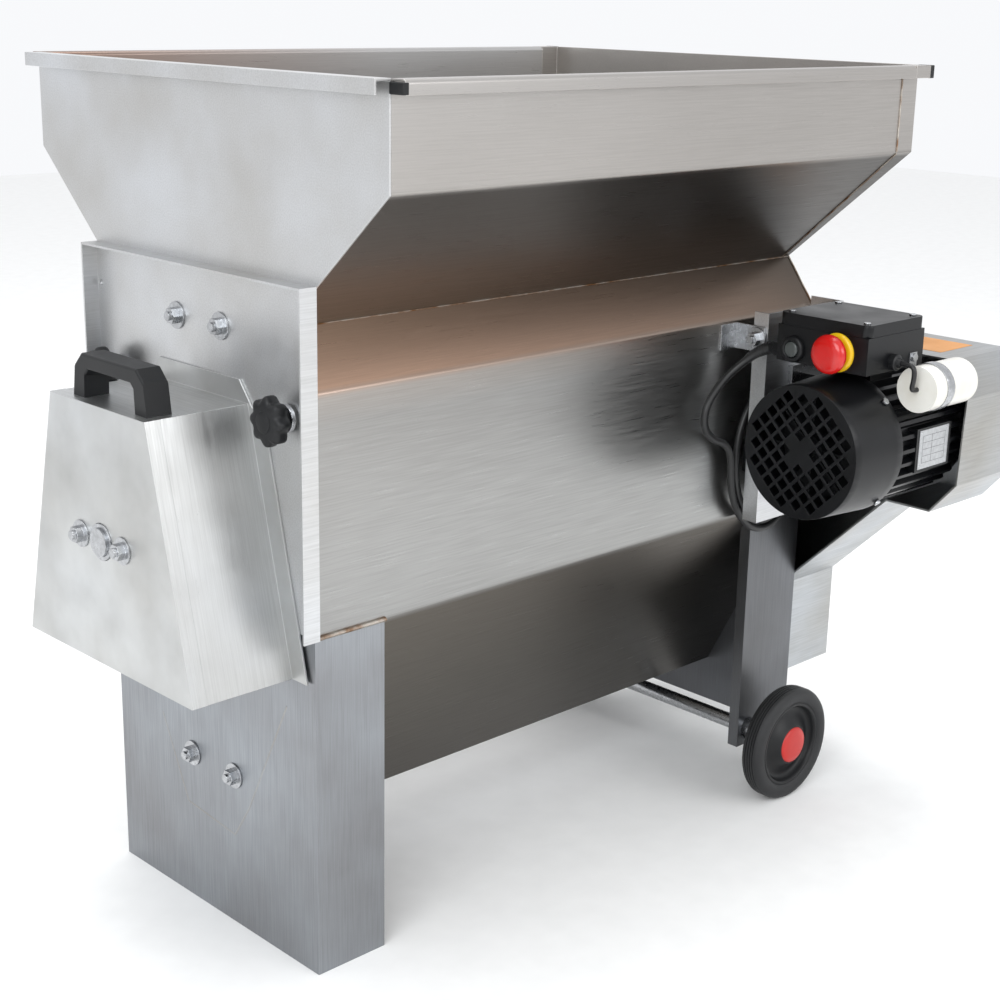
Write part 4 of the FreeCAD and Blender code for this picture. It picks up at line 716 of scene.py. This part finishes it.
# %% Wheels
wheel_x = (low("front_wheel_tyre")[0] + high("front_wheel_tyre")[0]) / 2
wheel_z = (low("front_wheel_tyre")[2] + high("front_wheel_tyre")[2]) / 2
wheel_r = high("front_wheel_tyre")[2] - wheel_z
wheel_in, wheel_out = -high("front_wheel_tyre")[1], -low("front_wheel_tyre")[1]
bead_r = wheel_r - 16
width = wheel_out - wheel_in
tyre_profile = [(3, bead_r), (1.4, bead_r + 1.5), (0.4, bead_r + 4), (0.1, wheel_r - 7), (0.8, wheel_r - 4.2),
                (2.4, wheel_r - 1.7), (4.4, wheel_r - 0.5), (6.4, wheel_r - 0.1)]
for groove in (7.2, 10.4):
    tyre_profile += [(groove - 0.5, wheel_r), (groove - 0.3, wheel_r - 1.0), (groove + 0.3, wheel_r - 1.0),
                     (groove + 0.5, wheel_r)]
tyre_profile += [(width - a, r) for a, r in tyre_profile[::-1]]
hub_profile = [(3, bead_r), (2.4, bead_r - 0.8), (2.4, bead_r - 2.6), (3.2, bead_r - 3.6), (6, bead_r - 4.4),
               (9.6, bead_r - 5.6), (11.2, bead_r - 8), (11.0, bead_r - 11), (9.4, 31.5), (6.6, 27.5),
               (3.6, 24.0), (1.4, 21.8), (0.4, 20.9), (0.2, 20.2), (1, 19), (1, 8.1), (width, 8.1),
               (width, 15), (width - 1, 16), (16, 17.5), (15, 22), (15, bead_r - 7),
               (width - 4, bead_r - 5.2), (width - 3, bead_r - 4.4), (width - 3, bead_r)]
cap_profile = [(-3, 0.5), (-2.95, 6), (-2.7, 11), (-2.2, 15), (-1.5, 17.6), (-0.6, 19.2), (0.4, 19.9),
               (1.4, 20), (1.6, 19.4), (1.6, 0.5)]
for side, label in ((-1, "front"), (1, "back")):
    y0 = side * wheel_out

    def put(profile, closed=False, steps=128):
        return lathe("y", (wheel_x, wheel_z), [(y0 - side * a, r) for a, r in profile], closed, steps)

    piece(f"{label}_tyre", put(tyre_profile, True), tyre_rubber, f"{label}_wheel",
          [f"{label}_wheel_tyre"])
    piece(f"{label}_hub", put(hub_profile, True, 96), black_nylon, f"{label}_wheel",
          [f"{label}_wheel_hub"])
    piece(f"{label}_cap", put(cap_profile, steps=64), hub_red, f"{label}_wheel",
          [f"{label}_wheel_cap"])
print("wheel centre", round(wheel_x, 1), round(wheel_z, 1), "radius", round(wheel_r, 1))

# %% [markdown]
# Small things that show the machine is real: black plugs in the ends of the hopper rim, a
# plain silver rating plate on the motor's side, held by four rivets, and a plain amber
# label on the guard. Neither plate carries words.


# %% Rim plugs and blank plates
rim_right = high("hopper_right_end")[0]
rim_left = low("hopper_left_end")[0] + RIM_WIDTH
plugs = []
for side in (-1, 1):
    sides = sorted((side * (hopper_half + RIM_WIDTH + 0.3), side * (hopper_half + 0.3)))
    plugs.append(block(rim_right - 3, rim_right + 3.5, *sides, rim_z - RIM_DROP - 0.3, rim_z + 0.2))
    plugs.append(block(rim_left - 3, rim_left + 3, *sides, rim_z - RIM_DROP + 0.5, rim_z - SHEET - 0.4))
piece("rim_end_plugs", plugs, black_nylon, "frame", edge=0.8)

motor_y = (low("fan_cowl")[1] + high("fan_cowl")[1]) / 2
motor_z = (low("fan_cowl")[2] + high("fan_cowl")[2]) / 2
stator_x = low("motor_stator")[0]
print("motor axis", round(motor_y, 1), round(motor_z, 1), "stator from", round(stator_x, 1))

FIN_RADIUS = 66.5
plate_face = motor_y - FIN_RADIUS - 0.6
silver = machined_steel("anodised aluminium plate", "#C4C6C8", "#B4B5B7", (0.34, 0.44))
amber = moulded("amber adhesive film", "#D98E1F", "#C67F1A", (0.3, 0.4), 5, 0.02)
ink = moulded("printed grey lines", "#4A4B4D", "#55565A", (0.4, 0.5), 5, 0.01)
px0, px1, pz0, pz1 = stator_x + 32, stator_x + 83, motor_z - 21.4, motor_z + 18
shells = [block(px0, px1, plate_face - 0.7, plate_face + 0.6, pz0, pz1)]
for x in (px0 + 3, px1 - 3):
    for z in (pz0 + 3, pz1 - 3):
        shells.append(lathe("y", (x, z), [(plate_face - 1.4, 0.4), (plate_face - 1.2, 1.1),
                                          (plate_face - 0.6, 1.5), (plate_face - 0.2, 1.5)], steps=16))
piece("rating_plate", shells, silver, "frame", edge=0.15)
lines = [block(px0 + 6, px1 - 6, plate_face - 0.78, plate_face - 0.6, z - 0.18, z + 0.18)
         for z in np.linspace(pz0 + 6, pz1 - 6, 5)]
lines += [block(x - 0.18, x + 0.18, plate_face - 0.78, plate_face - 0.6, pz0 + 6, pz1 - 6)
          for x in (px0 + 6, px0 + 22, px1 - 6)]
piece("rating_plate_lines", lines, ink, "frame")
guard_top = high("transmission_guard")[2]
piece("guard_label", block(right_x + 22, right_x + 82, -300, -215, guard_top - 0.2, guard_top + 0.25), amber,
      "frame", edge=0.1)

# %% [markdown]
# The power cord is 8 mm PVC flex. It leaves the gland beside the control box, drops past the
# motor plate, and its spare length is wound flat in an oval behind the plate, each turn
# inside the last, with the plug hanging in the middle.


# %% Power cord
CORD_ROUTE = [(533.5, -206, 509), (531, -193, 504), (524, -181, 492), (512, -171, 478), (496, -167, 462),
              (484, -166, 445), (484, -166, 426), (497, -167, 413), (512, -168, 408), (524, -168, 398),
              (530, -167, 384)]
TAIL_ROUTE = [(602, -167, 452), (586, -168, 451), (571, -170, 443.5), (564, -172, 429.5), (565, -174, 414)]
CORD_DIAMETER = 8.0
coil_low, coil_high = low("cord_coil"), high("cord_coil")
coil_x, coil_y, coil_z = (coil_low + coil_high) / 2
half_x = (coil_high[0] - coil_low[0]) / 2 - CORD_DIAMETER / 2
half_z = (coil_high[2] - coil_low[2]) / 2 - CORD_DIAMETER / 2
TURNS = 1.70
SHRINK_PER_TURN = 15.0 / 1.75
POINTS_PER_TURN = 20
coil_points = []
for k in range(1, int(TURNS * POINTS_PER_TURN)):
    angle = math.pi + 2 * math.pi * k / POINTS_PER_TURN
    less = SHRINK_PER_TURN * k / POINTS_PER_TURN
    coil_points.append((coil_x + (half_x - less) * math.cos(angle), coil_y,
                        coil_z + (half_z - less) * math.sin(angle)))
route = CORD_ROUTE + coil_points + TAIL_ROUTE
curve = bpy.data.curves.new("power_cord_line", "CURVE")
curve.dimensions = "3D"
curve.resolution_u = 12
curve.render_resolution_u = 12
spline = curve.splines.new("NURBS")
spline.points.add(len(route) - 1)
for point, place in zip(spline.points, route):
    point.co = (*(np.array(place) * MM), 1)
spline.order_u = 3
spline.use_endpoint_u = True
cord = bpy.data.objects.new("power_cord_flex", curve)
bpy.context.collection.objects.link(cord)
bpy.context.view_layer.update()
drawn = bpy.data.meshes.new_from_object(cord.evaluated_get(bpy.context.evaluated_depsgraph_get()))
line = np.array([v.co for v in drawn.vertices])
bpy.data.meshes.remove(drawn)
curve.bevel_depth = CORD_DIAMETER / 2 * MM
curve.bevel_resolution = 5
curve.use_fill_caps = True
curve.materials.append(cord_pvc)
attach(cord, "frame")
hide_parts("power_cord", "cord_coil")

# %% [markdown]
# A ribbed sleeve protects the cord where it bends out of the gland. It follows the first
# 30 mm of the cord's own line and tapers to it.

# %% Strain relief
reach = np.concatenate([[0], np.cumsum(np.linalg.norm(np.diff(line, axis=0), axis=1))]) / MM
RELIEF_LENGTH = 30.0
stations = np.arange(0, RELIEF_LENGTH + 0.01, 0.75)
along = np.stack([np.interp(stations, reach, line[:, i]) for i in range(3)], 1) / MM
around = np.arange(24) * math.pi / 12
section = [(math.cos(a), math.sin(a)) for a in around]


def relief_radius(i):
    share = stations[i] / RELIEF_LENGTH
    return 6.3 - 1.9 * share + (0.45 if int(stations[i] / 1.5) % 2 else 0) * (1 - share)


relief = piece("cord_strain_relief", sweep(along, section, relief_radius, up=(1, 0, 0)), cord_pvc, "frame")

# %% [markdown]
# The cord's gland is a hexagon nut with a short sleeve. Beside it, on the box's other side,
# a small boot holds the thin lead that bends round into the end of the capacitor.

# %% Cable gland and capacitor lead
box_y0, box_y1 = low("control_box")[1], high("control_box")[1]
gland_x, gland_end, gland_z = CORD_ROUTE[0]
gland = [lathe("y", (gland_x, gland_z), [(box_y1, 7.2), (box_y1 + 0.4, 7.6), (box_y1 + 6.6, 7.6),
                                         (box_y1 + 7, 7.2)], steps=6),
         lathe("y", (gland_x, gland_z), [(box_y1 + 6, 6.5), (gland_end - 1, 6.5), (gland_end, 5.8),
                                         (gland_end, 3.6), (box_y1 + 6, 3.6)], closed=True, steps=32)]
can_low, can_high = low("capacitor"), high("capacitor")
can_y, can_z = ((can_low + can_high) / 2)[1:]
boot_x, boot_z = can_low[0] - 11, low("control_box")[2] + 9
boot = lathe("y", (boot_x, boot_z), [(box_y0, 8), (box_y0 - 6, 8), (box_y0 - 7, 7), (box_y0 - 7.4, 5),
                                     (box_y0 - 11, 4.2), (box_y0 - 11, 1)], steps=32)
bends = [(boot_x, box_y0 - 10, boot_z), (boot_x, box_y0 - 15, boot_z), (boot_x, can_y - 2, boot_z - 1),
         (boot_x, can_y - 3, boot_z - 12), (boot_x + 1, can_y, can_z + 2), (boot_x + 6, can_y, can_z),
         (can_low[0] + 1, can_y, can_z)]
smooth_line = []
for k in range(1, len(bends) - 1):
    a, b, c = (np.array(bends[k + d], float) for d in (-1, 0, 1))
    first = a if k == 1 else (a + b) / 2
    last = c if k == len(bends) - 2 else (b + c) / 2
    smooth_line += [(1 - t) ** 2 * first + 2 * t * (1 - t) * b + t * t * last
                    for t in np.arange(0, 0.99, 0.125)]
smooth_line.append(np.array(bends[-1], float))
lead = sweep(smooth_line, [(2.4 * math.cos(a), 2.4 * math.sin(a)) for a in np.arange(16) * math.pi / 8],
             up=(0.6, -0.5, 0.6))
piece("gland_and_boot", [*gland, boot], black_nylon, "frame", ["cable_glands"])
piece("capacitor_lead", lead, cord_pvc, "frame")
print("boot at", round(boot_x, 1), round(boot_z, 1), "can centre", round(can_y, 1), round(can_z, 1))

# %% [markdown]
# Last, the view layer is brought up to date.

# %% Update the scene
bpy.context.view_layer.update()
